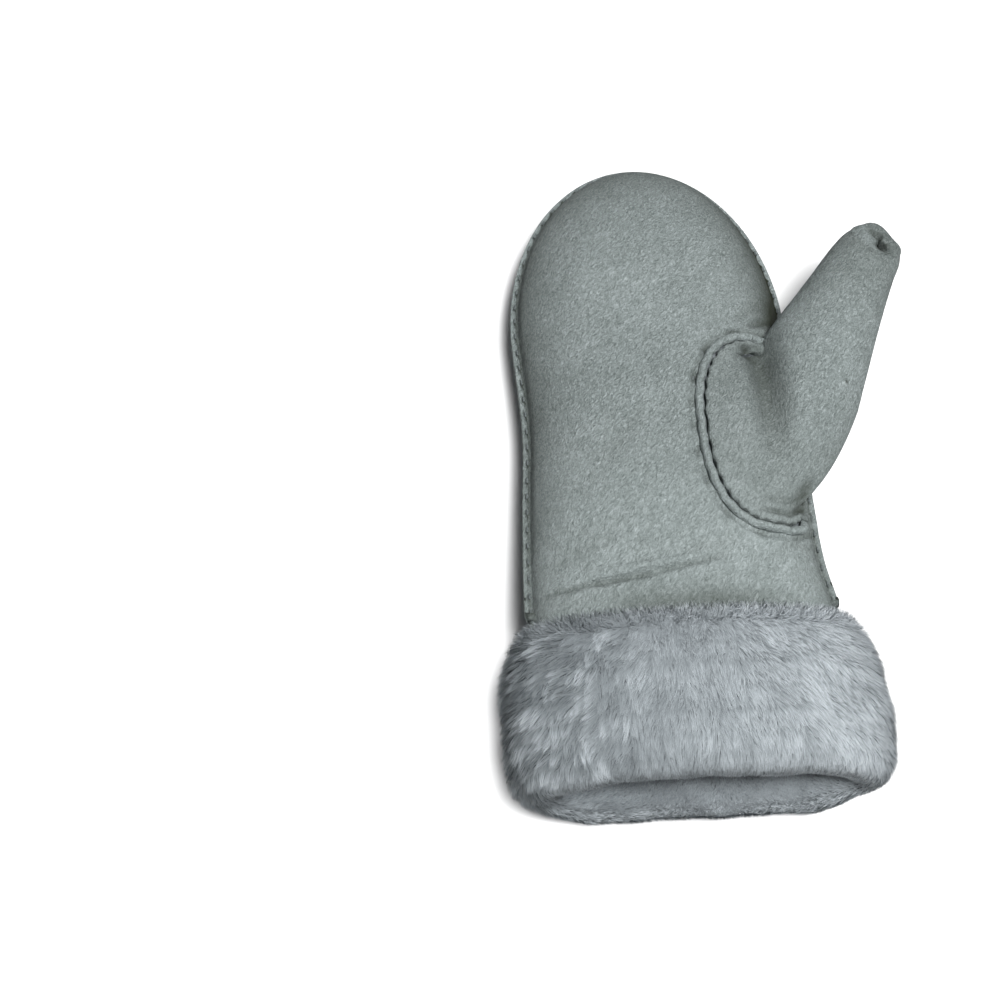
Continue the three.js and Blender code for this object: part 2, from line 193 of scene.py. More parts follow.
# Suede panels. The palm and the back are cut from one weight of sheepskin, suede side out, and
# sewn edge to edge. The palm is stretched over the hand, and the back lies flat on the table.
SUEDE_THICK = 2.0
SEAM_GAP = 0.3
SEAM_WIDTH = 3.0
FLANGE_SHARES = (1.0, 0.85, 0.65, 0.45, 0.3, 0.12)
FLANGE_BACK = 0.3
FLANGE_TUCK = 0.6
FLANGE_SHOWS_Y = -64
STITCH_COLUMN = 4
FOLD_COLUMN = 6
HEM_Y = -126.0
CUFF_EDGE_Y = -74.0
KNUCKLE_Y = 60.0
FINGERTIP_Y = 138.5
HAND_COLUMNS = ("y", "left", "right", "bottom", "seam", "top")
HAND = (
    (-126, -55.5, 56, 14, 28, 45),
    (-72, -56.5, 54.2, 14, 27, 46),
    (-50, -56, 51.5, 8, 24, 46.5),
    (-20, -54.5, 51.5, 0, 20, 47),
    (15, -52.5, 52, 0, 18, 46.5),
    (60, -54.5, 51.5, 0, 16.5, 44),
    (138.5, -54.5, 51.5, 0, 15, 44),
)
ROUND_ACROSS = 2.4
ROUND_UP = 2.1
BACK_FLATNESS = 1.25

# Stitches are one pitch apart. Each pulls the suede down into a dimple, and the leather puffs between
# them. DARK values say how much painted shade darkens the suede, from 0 to 1.
STITCH_PITCH = 7.4
STITCH_LONG = 1.5
STITCH_PROUD = 0.1
CREASE_DEEP = 0.45
DIMPLE_DEEP = 1.0
DIMPLE_AWAY = 0.3
DIMPLE_WIDE = 0.8
PUFF_HIGH = 0.35
PUFF_AWAY = 3.4
PUFF_WIDE = 2.2
STITCH_LINE_AWAY = 0.2
STITCH_LINE_WIDE = 0.7
STITCH_LINE_DARK = 0.7

# Creases of the palm above the cuff: each runs straight between two places.
FOLD_COLUMNS = ("x1", "y1", "x2", "y2", "deep", "wide")
FOLD_END = 0.4
CREASES = (
    (-52.0, -62.0, -30.0, -60.5, 1.5, 1.2),
    (-34.0, -61.0, -14.0, -59.0, 2.2, 1.1),
    (-18.0, -59.5, 14.0, -53.0, 2.0, 1.2),
    (-36.0, -58.0, 2.0, -54.2, -1.3, 1.8),
    (-2.0, -52.0, 20.0, -46.0, 0.7, 2.4),
    (-26.0, -69.5, 40.0, -69.5, 1.8, 3.4),
    (-50.0, -52.0, -24.0, -42.0, 0.6, 3.2),
    (-36.0, -20.0, -8.0, 8.0, 0.5, 5.0),
)


def read_smoothly(table, places):
    """Passes a smooth curve through a table's rows, and returns its columns at the places."""
    rows = np.array(table, float)
    t = rows[:, 0]
    x = np.clip(np.asarray(places, float), t[0], t[-1])
    last = len(t) - 1
    high = np.clip(np.searchsorted(t, x, side="right"), 1, last)
    low = high - 1
    before = np.where(low > 0, low - 1, high)
    after = np.where(high < last, np.minimum(high + 1, last), low)
    half = (t[high] - t[low]) / 2
    pull_before = half / (t[low] - t[before])
    pull_after = half / (t[after] - t[high])
    p = (x - t[low]) / (t[high] - t[low])
    w_before = -pull_before * p**3 + 2 * pull_before * p**2 - pull_before * p
    w_low = (1 + pull_before) * p**3 + (-1.5 - 2 * pull_before) * p**2 + (pull_before - 0.5) * p + 1
    w_high = (-1 - pull_after) * p**3 + (1.5 + pull_after) * p**2 + 0.5 * p
    w_after = pull_after * p**3 - pull_after * p**2
    mixed = (
        w_before[..., None] * rows[before]
        + w_low[..., None] * rows[low]
        + w_high[..., None] * rows[high]
        + w_after[..., None] * rows[after]
    )
    return np.moveaxis(mixed, -1, 0)


def hand_at(y):
    return dict(zip(HAND_COLUMNS, read_smoothly(HAND, y)))


def blend_step(value, low, high):
    """0 below low, 1 above high, and a smooth rise between."""
    share = np.clip((value - low) / (high - low), 0, 1)
    return share * share * (3 - 2 * share)


def bump(distance, width):
    return np.exp(-((distance / width) ** 2))


def hand_point(y, sideways, forwards, phi, grow=0.0, on_back=False):
    """Points of the hand's form. phi climbs from the seam to the middle of the palm or back."""
    across = np.maximum(np.cos(phi), 0) ** (2 / ROUND_ACROSS)
    rise = np.maximum(np.sin(phi), 0) ** (2 / ROUND_UP)
    at = hand_at(y)
    x = (at["left"] + at["right"]) / 2
    x = x + across * ((at["right"] - at["left"]) / 2 + grow) * sideways
    place = y + across * (FINGERTIP_Y - KNUCKLE_Y + grow) * forwards
    seam = hand_at(place)["seam"]
    if on_back:
        drop = np.minimum(1, BACK_FLATNESS * rise) * (seam - np.maximum(0, at["bottom"]) + grow)
        z = np.maximum(0, seam - drop)
    else:
        z = seam + rise * (at["top"] + grow - seam)
    return np.stack(np.broadcast_arrays(x, place, z), -1)


def outline_stations(start, spacing, tip_count):
    """Stations round the hand: their Y, and how far each looks sideways and forwards."""
    side = np.linspace(start, KNUCKLE_Y, int((KNUCKLE_Y - start) / spacing) + 1)
    angle = np.pi * (1 - np.arange(1, tip_count) / tip_count)
    y = np.concatenate([side, np.full(len(angle), KNUCKLE_Y), side[::-1]])
    sideways = np.concatenate([-np.ones(len(side)), np.cos(angle), np.ones(len(side))])
    forwards = np.concatenate([np.zeros(len(side)), np.sin(angle), np.zeros(len(side))])
    return y[:, None], sideways[:, None], forwards[:, None]


def run_along(points):
    """Length from the first point to each point of a line of points."""
    steps = np.linalg.norm(np.diff(points, axis=0), axis=1)
    return np.concatenate([[0], np.cumsum(steps)])


def unit(vectors):
    return vectors / np.maximum(np.linalg.norm(vectors, axis=-1, keepdims=True), 1e-9)


def sheet_normals(grid):
    """The direction in which each point of a grid of points faces."""
    along = np.gradient(grid, axis=0)
    up = np.gradient(grid, axis=1)
    return unit(np.cross(along, up))


def grid_faces(rows, columns, closed=False):
    """Quads of a grid of points. closed joins the last row to the first."""
    i, j = np.meshgrid(np.arange(rows if closed else rows - 1), np.arange(columns - 1), indexing="ij")
    here = (i * columns + j).ravel()
    ahead = (((i + 1) % rows) * columns + j).ravel()
    return np.stack([here, here + 1, ahead + 1, ahead], 1)


def new_piece(name, points, faces, material, closest=0.02, crushed=None):
    """A smooth mesh in metres, from points in millimetres. Points that meet are merged.

    The last argument says how much painted shade, or a mark, darkens each point, from 0 to 1.
    """
    mesh = bpy.data.meshes.new(name)
    mesh.from_pydata((np.asarray(points) / 1000).tolist(), [], [list(face) for face in faces])
    if crushed is not None:
        layer = mesh.attributes.new("crushed", "FLOAT", "POINT")
        layer.data.foreach_set("value", np.clip(crushed, 0, 1).ravel().astype(np.float32))
    edit = bmesh.new()
    edit.from_mesh(mesh)
    bmesh.ops.remove_doubles(edit, verts=edit.verts, dist=closest / 1000)
    bmesh.ops.recalc_face_normals(edit, faces=edit.faces)
    edit.to_mesh(mesh)
    edit.free()
    mesh.shade_smooth()
    piece = bpy.data.objects.new(name, mesh)
    bpy.context.scene.collection.objects.link(piece)
    mesh.materials.append(material)
    return piece


def facing_out(piece, inside):
    """Turns an open sheet's faces away from a point inside the hand."""
    mesh = piece.data
    centre = np.array(inside) / 1000
    count = len(mesh.polygons)
    middles = np.empty(count * 3)
    normals = np.empty(count * 3)
    mesh.polygons.foreach_get("center", middles)
    mesh.polygons.foreach_get("normal", normals)
    outwards = (middles.reshape(-1, 3) - centre) * normals.reshape(-1, 3)
    if outwards.sum() < 0:
        mesh.flip_normals()


def thicken(piece, thickness):
    """Gives a sheet its wall, on the inner side, and applies it."""
    wall = piece.modifiers.new("wall", "SOLIDIFY")
    wall.thickness = thickness / 1000
    wall.offset = -1
    bpy.context.view_layer.objects.active = piece
    bpy.ops.object.modifier_apply(modifier=wall.name)


# Suede's nap. Shares say how much each noise counts in the tone. The skin is wrinkled over the lower
# palm, from the first place along Y down to the other. Those places and the nap's depth are metres.
PATCH_SHARE = 0.12
CLOUD_SHARE = 0.08
FLECK_SHARE = 0.8
NAP_SHARE = 0.65
WRINKLE_SHARE = 0.62
WRINKLED_FROM = 0.005
WRINKLED_TO = -0.045
WRINKLED_MOST = 0.75
NAP_DEEP = 0.0019


def suede_finish(name):
    """Suede with a short nap: brushed patches and fine flecks, darkened by painted shade and by marks.
    """
    material, start, shader = new_material(name)
    place = start.node("ShaderNodeTexCoord", output="Object")

    def noise(scale, detail, roughness=0.5, distortion=0.0, stretch=1.0, turn=0.0):
        """Noise drawn out along Y, and then turned about Z."""
        at = start.node(
            "ShaderNodeMapping",
            {"vector_type": "TEXTURE"},
            {"Vector": place, "Rotation": (0, 0, turn), "Scale": (1, stretch, 1)},
        )
        values = {
            "Vector": at,
            "Scale": scale,
            "Detail": detail,
            "Roughness": roughness,
            "Distortion": distortion,
        }
        return start.node("ShaderNodeTexNoise", None, values)

    patches = noise(26, 3)
    clouds = noise(90, 2, distortion=0.5)
    nap = noise(1280, 2, 0.6, distortion=1.3, stretch=2.4, turn=-0.6)
    cross_nap = noise(1600, 2, 0.6, distortion=0.8, stretch=1.6, turn=-1.2)
    fleck = nap * NAP_SHARE + cross_nap * (1 - NAP_SHARE)
    wrinkles = noise(540, 3, 0.6, distortion=1.8, stretch=2.0, turn=-0.5)
    along_hand = start.node("ShaderNodeSeparateXYZ", None, {0: place}, output=1)
    wrinkled = start.node(
        "ShaderNodeMapRange",
        {"interpolation_type": "SMOOTHSTEP"},
        {
            "Value": along_hand,
            "From Min": WRINKLED_FROM,
            "From Max": WRINKLED_TO,
            "To Max": WRINKLED_MOST,
        },
    )
    fleck = fleck * (1 - wrinkled * WRINKLE_SHARE) + wrinkles * wrinkled * WRINKLE_SHARE
    tone = patches * PATCH_SHARE + clouds * CLOUD_SHARE + fleck * FLECK_SHARE
    colour = start.node(
        "ShaderNodeValToRGB",
        {
            "stops": [
                (0.34, srgb(84, 91, 89)[:3]),
                (0.50, srgb(119, 127, 126)[:3]),
                (0.66, srgb(154, 162, 162)[:3]),
            ]
        },
        {"Fac": tone},
    )
    # Painted shade, and a few marks, darken the suede towards this colour.
    crushed = start.node("ShaderNodeAttribute", {"attribute_name": "crushed"}, output=2)
    feed(colour.mix(crushed, srgb(42, 46, 38)), shader, "Base Color")
    relief = fleck * 0.8 + clouds * 0.2
    surface = start.node(
        "ShaderNodeBump", None, {"Strength": 1.0, "Distance": NAP_DEEP, "Height": relief}
    )
    feed(surface, shader, "Normal")
    shader.inputs["Roughness"].default_value = 0.95
    shader.inputs["Specular IOR Level"].default_value = 0.1
    return material


suede = suede_finish("grey_suede")


def line_distance(x, y, start, end):
    """Distance from a straight line between two places, and the share of the way along it."""
    way = np.subtract(end, start)
    share = ((x - start[0]) * way[0] + (y - start[1]) * way[1]) / (way @ way)
    held = np.clip(share, 0, 1)
    return np.hypot(x - start[0] - held * way[0], y - start[1] - held * way[1]), held


def ends(share):
    """Depth along a fold: all of it half way, and a part of it at both ends."""
    return FOLD_END + (1 - FOLD_END) * np.sin(np.pi * share)


def fold_depth(x, y, folds):
    depth = 0.0
    for fold in folds:
        at = dict(zip(FOLD_COLUMNS, fold))
        away, share = line_distance(x, y, (at["x1"], at["y1"]), (at["x2"], at["y2"]))
        depth = depth + at["deep"] * bump(away, at["wide"]) * ends(share)
    return depth


# Thumb hole: the line where the palm's raw edge meets the thumb's, an oval on the palm.
HOLE_X = 36.5
HOLE_Y = -0.2
HOLE_ACROSS = 24.0
HOLE_ALONG = 40.2
HOLE_POWER = 2.5
CROTCH_POWER = 2.42
HOLE_EDGE = 0.93
CORNER_ROUND = 13.0
LIP_GAP = 0.5
LIP_WIDE = 3.0
LIP_HIGH = 2.0
GROOVE_AWAY = 4.4
LOOP_STITCHES = 18

# Folds that the thumb draws together at its crotch and beside its outer end.
PALM_FOLDS = (
    (34.0, 46.5, 45.0, 53.0, 1.4, 1.6),
    (29.0, 49.0, 40.0, 58.0, 0.6, 1.8),
    (36.0, -48.5, 50.0, -46.0, 0.9, 1.4),
    (42.0, -44.0, 53.0, -38.0, 1.2, 1.5),
)
THUMB_FOLDS = (
    (29.0, 43.0, 35.0, 31.0, 1.7, 1.9),
    (34.0, 45.5, 38.4, 35.0, 1.5, 1.7),
    (28.7, -35.1, 40.2, -36.0, 1.3, 1.1),
    (40.2, -36.0, 49.5, -29.5, 2.2, 1.3),
    (30.6, -31.3, 42.2, -31.3, 0.8, 1.2),
    (42.2, -31.3, 50.5, -25.2, 1.9, 1.3),
    (44.0, -27.4, 51.5, -22.0, 1.5, 1.3),
)


def palm_height(x, y):
    at = hand_at(y)
    half = (at["right"] - at["left"]) / 2
    share = np.minimum(1, np.abs(x - (at["left"] + at["right"]) / 2) / half)
    rise = (1 - share**ROUND_ACROSS) ** (1 / ROUND_UP)
    return at["seam"] + rise * (at["top"] - at["seam"])


def hole_point(psi, inset):
    """Points of the split line moved towards the hole's middle, and the palm's normals there."""
    sine = np.sin(psi)
    cosine = np.cos(psi)
    roundness = np.where(cosine > 0, HOLE_POWER, CROTCH_POWER)
    across = (HOLE_ACROSS - inset) * np.sign(sine) * np.abs(sine) ** (2 / roundness)
    along = (HOLE_ALONG - inset) * np.sign(cosine) * np.abs(cosine) ** (2 / roundness)
    y = HOLE_Y - along
    at = hand_at(y)
    edge = (at["left"] + at["right"]) / 2 + HOLE_EDGE * (at["right"] - at["left"]) / 2 - inset
    x = HOLE_X - across
    near = np.maximum(0, CORNER_ROUND - np.abs(x - edge)) / CORNER_ROUND
    x = np.minimum(x, edge) - near**2 * CORNER_ROUND / 4
    step = 0.5
    slopes = np.broadcast_arrays(
        palm_height(x - step, y) - palm_height(x + step, y),
        palm_height(x, y - step) - palm_height(x, y + step),
        2 * step,
    )
    return np.stack([x, y, palm_height(x, y)], -1), unit(np.stack(slopes, -1))


split_line, _ = hole_point(np.linspace(0, 2 * np.pi, 361), 0.0)


# Beyond this box round the thumb hole, a place counts as far away from it.
HOLE_BOX_LEFT = -15
HOLE_BOX_END = 65
FAR_AWAY = 60.0


def hole_distance(x, y):
    """Distance outside the thumb hole's split line, seen from above. Negative is inside."""
    distance = np.full(x.shape, FAR_AWAY)
    near = (x > HOLE_BOX_LEFT) & (np.abs(y) < HOLE_BOX_END)
    at = np.stack([x[near], y[near]], -1)
    closest = np.full(len(at), 1e9)
    inside = np.zeros(len(at), bool)
    for one, two in zip(split_line[:-1, :2], split_line[1:, :2]):
        way = two - one
        share = np.clip(((at - one) @ way) / max(way @ way, 1e-12), 0, 1)
        closest = np.minimum(closest, ((at - one - share[:, None] * way) ** 2).sum(axis=1))
        crosses = (one[1] > at[:, 1]) != (two[1] > at[:, 1])
        if way[1] != 0:
            inside ^= crosses & (at[:, 0] < one[0] + (at[:, 1] - one[1]) * way[0] / way[1])
    closest = np.sqrt(closest)
    distance[near] = np.where(inside, -closest, closest)
    return distance


def seam_profile(station, side, columns):
    """Grid of one panel's outside, from its raw edge over the stitch line to the middle."""
    y, sideways, forwards = station
    seam_y = hand_point(y, sideways, forwards, 0.0)[..., 1]
    shown = blend_step(seam_y, CUFF_EDGE_Y, FLANGE_SHOWS_Y)
    width = SEAM_WIDTH * shown - FLANGE_TUCK * (1 - shown)
    up = side * (SEAM_GAP / 2 + SUEDE_THICK)
    edge = []
    for share in FLANGE_SHARES:
        point = hand_point(y, sideways, forwards, 0.0, grow=width * share - FLANGE_BACK)
        point[..., 2] += up
        edge.append(point)
    phi = columns[None, :]
    wall = hand_point(y, sideways, forwards, phi, on_back=side < 0)
    return np.concatenate([*edge, wall], axis=1)


def relax_rows(grid, first, last, passes):
    """Rounds the sharp fold of a profile by averaging neighbouring columns."""
    for _ in range(passes):
        middle = (grid[:, first - 1 : last - 1] + grid[:, first + 1 : last + 1]) / 2
        grid[:, first:last] = (grid[:, first:last] + middle) / 2
    return grid


def pull_stitches(grid, side):
    """Presses the stitch dimples in along the seam, puffs the suede between them, and paints shade on
    the line.
    """
    line = grid[:, STITCH_COLUMN]
    run = run_along(line)
    pitch = run[-1] / round(run[-1] / STITCH_PITCH)
    from_stitch = np.abs((run / pitch + 0.5) % 1 - 0.5)[:, None] * pitch
    pinch = bump(from_stitch, STITCH_LONG)
    steps = np.linalg.norm(np.diff(grid, axis=1), axis=2)
    away = np.concatenate([np.zeros((len(grid), 1)), np.cumsum(steps, axis=1)], axis=1)
    away = away - away[:, STITCH_COLUMN][:, None]
    shown = blend_step(line[:, 1], CUFF_EDGE_Y - 4, CUFF_EDGE_Y + 6)[:, None]
    normal = sheet_normals(grid) * side
    clear_of_cuff = blend_step(line[:, 1], CUFF_EDGE_Y + 4, CUFF_EDGE_Y + 10)[:, None]
    # Painted shade along the stitch line, deepest at each dimple.
    on_stitch_line = bump(away - STITCH_LINE_AWAY, STITCH_LINE_WIDE) * (0.25 + 0.75 * pinch)
    on_stitch_line = on_stitch_line * clear_of_cuff
    dip = bump(away - DIMPLE_AWAY, DIMPLE_WIDE) * (CREASE_DEEP + DIMPLE_DEEP * pinch)
    puff = PUFF_HIGH * bump(away - PUFF_AWAY, PUFF_WIDE) * (1 - pinch)
    pulled = grid + normal * ((puff - dip) * shown)[..., None]
    number = int(round(run[-1] / pitch))
    rows = np.searchsorted(run, np.arange(1, number) * pitch)
    rows = rows[line[rows, 1] > CUFF_EDGE_Y + 5]
    along = line[np.minimum(rows + 1, len(line) - 1)] - line[rows - 1]
    up = normal[rows, STITCH_COLUMN]
    seat = pulled[rows, STITCH_COLUMN] + up * STITCH_PROUD
    return pulled, (seat, along, up), on_stitch_line * STITCH_LINE_DARK


# Painted shade darkens the suede down the hand's sides, most of all beside the thumb. Each pair of
# places says where a change starts and ends.
SIDE_SHADE = 0.5
EDGE_SHADE_SHARE = 0.5
SIDE_SHADE_HEIGHTS = (20, 43)
EDGE_SHADE_Y = (-20, 70)
BESIDE_THUMB_X = (15, 45)
BESIDE_THUMB_Y = (20, 50)


def painted_side_shade(grid):
    """Painted shade down the hand's sides, and a little on the raw edge's lower part."""
    low = 1 - blend_step(grid[..., 2], *SIDE_SHADE_HEIGHTS)
    edge_y = grid[:, : STITCH_COLUMN + 1, 1]
    low[:, : STITCH_COLUMN + 1] = EDGE_SHADE_SHARE * (1 - blend_step(edge_y, *EDGE_SHADE_Y))
    beside_thumb = blend_step(grid[..., 0], *BESIDE_THUMB_X) * blend_step(grid[..., 1], *BESIDE_THUMB_Y)
    return SIDE_SHADE * low * (1 + beside_thumb)


# Palm panel. It starts under the cuff, runs round the fingertips and has the thumb hole cut in it.
# The groove outside the hole's raised edge ends where the thumb laps over it.
PANEL_START_Y = -96.0
STATION_SPACING = 1.0
INSIDE_HAND = (0, 20, 20)
GROOVE_DEEP = 1.9
GROOVE_WIDE = 1.1
GROOVE_LEVEL = 0.4
GROOVE_PULL = 0.7
GROOVE_ENDS_X = (40, 47)
# Painted shade: in the groove, deeper higher up, in folds and creases, in a band below the creases and
# beside the thumb's crotch.
GROOVE_DARK = 0.2
GROOVE_DARKER = 0.16
GROOVE_DARKER_Y = (-5, 25)
SWELLING_HIGH = 0.6
SWELLING_AWAY = 3.8
SWELLING_WIDE = 1.8
FOLD_DARK = 0.2
CREASE_DARK = 0.22
BELOW_CREASE_DARK = 0.14
BELOW_CREASE_Y = (57, 66)
BELOW_CREASE_X = (5, 45)
CROTCH_SHADE_X = 51.0
CROTCH_SHADE_Y = 56.0
CROTCH_SHADE_WIDE = 10.0
CROTCH_SHADE_DARK = 0.45
HOLE_CUT_AWAY = 1.2

palm_columns = np.radians(np.concatenate([np.linspace(5, 24, 18), np.linspace(25, 90, 54)]))
palm_station = outline_stations(PANEL_START_Y, STATION_SPACING, tip_count=230)
palm_grid = seam_profile(palm_station, 1, palm_columns)
palm_grid = relax_rows(palm_grid, FOLD_COLUMN - 1, FOLD_COLUMN + 5, passes=3)
creases = fold_depth(palm_grid[..., 0], palm_grid[..., 1], CREASES)
palm_grid[..., 2] -= creases
palm_grid, side_stitches, palm_painted_shade = pull_stitches(palm_grid, 1)
palm_x, palm_y = palm_grid[..., 0], palm_grid[..., 1]
hole_away = hole_distance(palm_x, palm_y)
loop_angle = np.arctan2(palm_y - HOLE_Y, palm_x - HOLE_X)
loop_pinch = np.clip(np.cos(loop_angle * LOOP_STITCHES), 0, 1)
groove = GROOVE_DEEP * bump(hole_away - GROOVE_AWAY, GROOVE_WIDE)
groove = groove * (GROOVE_LEVEL + GROOVE_PULL * loop_pinch)
groove = groove * (1 - blend_step(palm_x, *GROOVE_ENDS_X))
swelling = SWELLING_HIGH * bump(hole_away - LIP_WIDE - SWELLING_AWAY, SWELLING_WIDE)
folds = fold_depth(palm_x, palm_y, PALM_FOLDS)
palm_grid[..., 2] += swelling - groove - folds
# Painted shade on the palm: down the sides, in folds, in the groove, beside the crotch, in the creases
# and below them.
palm_painted_shade = palm_painted_shade + painted_side_shade(palm_grid) + folds * FOLD_DARK
groove_dark = GROOVE_DARK + GROOVE_DARKER * blend_step(palm_y, *GROOVE_DARKER_Y)
crotch_away = np.hypot(palm_x - CROTCH_SHADE_X, palm_y - CROTCH_SHADE_Y)
palm_painted_shade = palm_painted_shade + groove * groove_dark
palm_painted_shade = palm_painted_shade + CROTCH_SHADE_DARK * bump(crotch_away, CROTCH_SHADE_WIDE)
below_crease = blend_step(-palm_y, *BELOW_CREASE_Y) * (1 - blend_step(palm_x, *BELOW_CREASE_X))
palm_painted_shade = palm_painted_shade + np.maximum(0, creases) * CREASE_DARK
palm_painted_shade = palm_painted_shade + BELOW_CREASE_DARK * below_crease
palm_faces = grid_faces(*palm_grid.shape[:2])
face_away = hole_away.reshape(-1)[palm_faces].mean(axis=1)
palm_faces = palm_faces[face_away > HOLE_CUT_AWAY]
palm_suede = new_piece(
    "palm_suede", palm_grid.reshape(-1, 3), palm_faces, suede, crushed=palm_painted_shade
)
facing_out(palm_suede, INSIDE_HAND)
thicken(palm_suede, SUEDE_THICK)
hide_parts("palm_panel")
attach(palm_suede, "root")

# Back panel. One whole piece of suede, which lies flat on the table and turns up to the side seam.
BACK_SHADE_HEIGHTS = (2, 16)

back_columns = np.radians(np.concatenate([np.linspace(8, 50, 16), np.linspace(54, 90, 10)]))
back_station = outline_stations(PANEL_START_Y, STATION_SPACING, tip_count=250)
back_grid = seam_profile(back_station, -1, back_columns)
back_grid = relax_rows(back_grid, FOLD_COLUMN - 1, FOLD_COLUMN + 6, passes=4)
back_grid, _, back_painted_shade = pull_stitches(back_grid, -1)
back_grid[..., 2] = np.maximum(back_grid[..., 2], 0)
# Painted shade on the back's sides, where they turn up to the seam.
back_painted_shade = back_painted_shade + SIDE_SHADE * blend_step(back_grid[..., 2], *BACK_SHADE_HEIGHTS)
back_painted_shade[:, :STITCH_COLUMN] = 0
back_suede = new_piece(
    "back_suede",
    back_grid.reshape(-1, 3),
    grid_faces(*back_grid.shape[:2]),
    suede,
    crushed=back_painted_shade,
)
facing_out(back_suede, INSIDE_HAND)
thicken(back_suede, SUEDE_THICK)
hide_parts("back_panel")
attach(back_suede, "root")


# Thumb. One piece of suede folded round the thumb, sewn into the hole with its raw edge standing
# up beside the palm's, and gathered shut at its tip.
THUMB_COLUMNS = ("on", "x", "y", "z", "turn", "lift", "wide", "deep")
THUMB = (
    (0, 36.5, 0, 39, 88, 64, 39, 22),
    (0.16, 45, 6.5, 36, 66, 46, 34, 19.5),
    (0.36, 55, 22.6, 36, 44, 22, 24.4, 16),
    (0.55, 64.8, 39.8, 38, 38, 14, 20, 15),
    (0.72, 74.6, 56.4, 41, 37, 14, 16.4, 13.8),
    (0.86, 83.4, 71, 43.4, 37, 24, 13.8, 12.2),
    (0.94, 87.0, 75.6, 45.4, 38, 38, 12.6, 11.4),
    (1, 88.6, 77.6, 47.6, 39, 52, 10.8, 10.0),
)

# The thumb's raw edge: each row's share along the thumb, how far it lies inside the split line, and
# its height. On the thumb's outer side the edge laps over the palm's.
THUMB_EDGE = (
    (-0.10, 0.9, -3.5),
    (-0.08, 0.6, -1.5),
    (-0.06, 0.5, 0.3),
    (-0.04, 0.7, 1.2),
    (-0.02, 1.3, 1.7),
    (0, 2.6, 1.9),
    (1, 3.0, 1.9),
)
SCALLOP = 0.35
LAP_FROM = np.radians(240)
LAP_TO = np.radians(318)
LAP_WIDE = 3.2

# Valley between the thumb's flat root beside the palm and its body, from the crotch towards the
# wrist: place and depth of each point.
VALLEY = (
    (38.0, 37.0, 6.0),
    (38.0, 27.0, 9.5),
    (38.0, 14.0, 8.6),
    (37.5, 0.0, 5.6),
    (37.0, -16.0, 1.6),
)
VALLEY_WIDE = 6.2

# Painted shade on the thumb, in its valley and folds, low down, at its root and towards its tip. It is
# darker in one small mark on its outer side too.
VALLEY_DARK = 0.05
THUMB_FOLD_DARK = 0.24
LOW_DARK = 0.3
LOW_HEIGHTS = (26, 50)
ROOT_DARK = 0.13
ROOT_SHARES = (0.1, 0.4)
TIP_DARK = 0.3
TIP_SHARES = (0.5, 1)
MARK_X = 68.0
MARK_Y = 15.5
MARK_WIDE = 0.6

# The tip is drawn together over a short cap into a neck, with uneven pleats round it. The neck is a
# slit that sinks in, with a soft ridge on one side.
TIP_CAP = 3.9
TIP_NECK = 0.27
TIP_FUNNEL = 0.9
TIP_SUNK = 4.6
TIP_LEAN = np.array([0.8, -1.4, -0.3])
TIP_TILT = np.radians(34)
PLEATS = 5
PLEAT_DEEP = 0.12
SLIT_TURN = np.radians(42)
SLIT_LONG = 0.74
RIDGE_TURN = np.radians(140)
RIDGE_HIGH = 1.1
RIDGE_AT = 0.62
RIDGE_WIDE = 0.24
# Painted shade over the cap, deeper at the neck, in the pleats and in the slit, and a painted highlight
# on the ridge.
CAP_DARK = 0.34
NECK_DARK = 0.24
PLEAT_DARK = 0.14
RIDGE_HIGHLIGHT = 0.34
SLIT_DARK = 0.6
INSIDE_THUMB = (62, 36, 38)


def lapped(psi):
    """1 where the thumb's edge lies over the palm's, down its outer side, and 0 where it is sewn."""
    turn = psi % (2 * np.pi)
    return blend_step(turn, LAP_FROM - 0.3, LAP_FROM) * (1 - blend_step(turn, LAP_TO, LAP_TO + 0.25))


def pleat_wave(psi):
    """Uneven pleats round the gathered tip: 1 at the bottom of each and -1 on its ridge."""
    return np.cos(PLEATS * psi + 1.3 * np.sin(2 * psi))


def thumb_axis(turn, lift):
    level = np.cos(lift)
    return np.stack([np.sin(turn) * level, np.cos(turn) * level, np.sin(lift)], -1)


def thumb_point(on, psi, shrink=1.0, forwards=0.0, gathered=0.0, tilt=0.0):
    """Points of the thumb's outside, at the share on along it and the angle psi round it."""
    on, psi = np.broadcast_arrays(on, psi)
    row = dict(zip(THUMB_COLUMNS, read_smoothly(THUMB, np.maximum(0, on))))
    turn = np.radians(row["turn"])
    lift = np.radians(row["lift"]) + tilt
    u = np.stack([np.cos(turn), -np.sin(turn), np.zeros_like(turn)], -1)
    axis = thumb_axis(turn, lift)
    v = np.cross(u, axis)
    pleats = (blend_step(on, 0.88, 1) * 0.25 + gathered) * PLEAT_DEEP
    slit = gathered * SLIT_LONG * np.cos(2 * (psi - SLIT_TURN))
    shrunk = shrink * (1 + slit - pleats * pleat_wave(psi))
    free = np.stack([row["x"], row["y"], row["z"]], -1)
    free = free + u * (row["wide"] * shrunk * np.cos(psi))[..., None]
    free = free + v * (row["deep"] * shrunk * np.sin(psi))[..., None]
    inset, height = read_smoothly(THUMB_EDGE, on)[1:]
    scallop = 0.5 + np.cos(LOOP_STITCHES * 2 * psi + 0.8 * np.sin(3 * psi))
    scallop = SCALLOP * scallop * (inset < 2.5)
    over = lapped(psi) * (1 - blend_step(on, 0, 0.14))
    sewn, normal = hole_point(psi, inset + scallop * (1 - over) - LAP_WIDE * over)
    sewn = sewn + normal * (height * (1 - 0.6 * over * (height > 0)))[..., None]
    share = blend_step(on, 0, 0.4)[..., None]
    return sewn * (1 - share) + free * share + axis * np.asarray(forwards)[..., None]


def valley_depth(x, y):
    depth = np.zeros(np.shape(x))
    for one, two in zip(VALLEY[:-1], VALLEY[1:]):
        away, share = line_distance(x, y, one[:2], two[:2])
        deep = one[2] * (1 - share) + two[2] * share
        depth = np.maximum(depth, deep * bump(away, VALLEY_WIDE))
    return depth


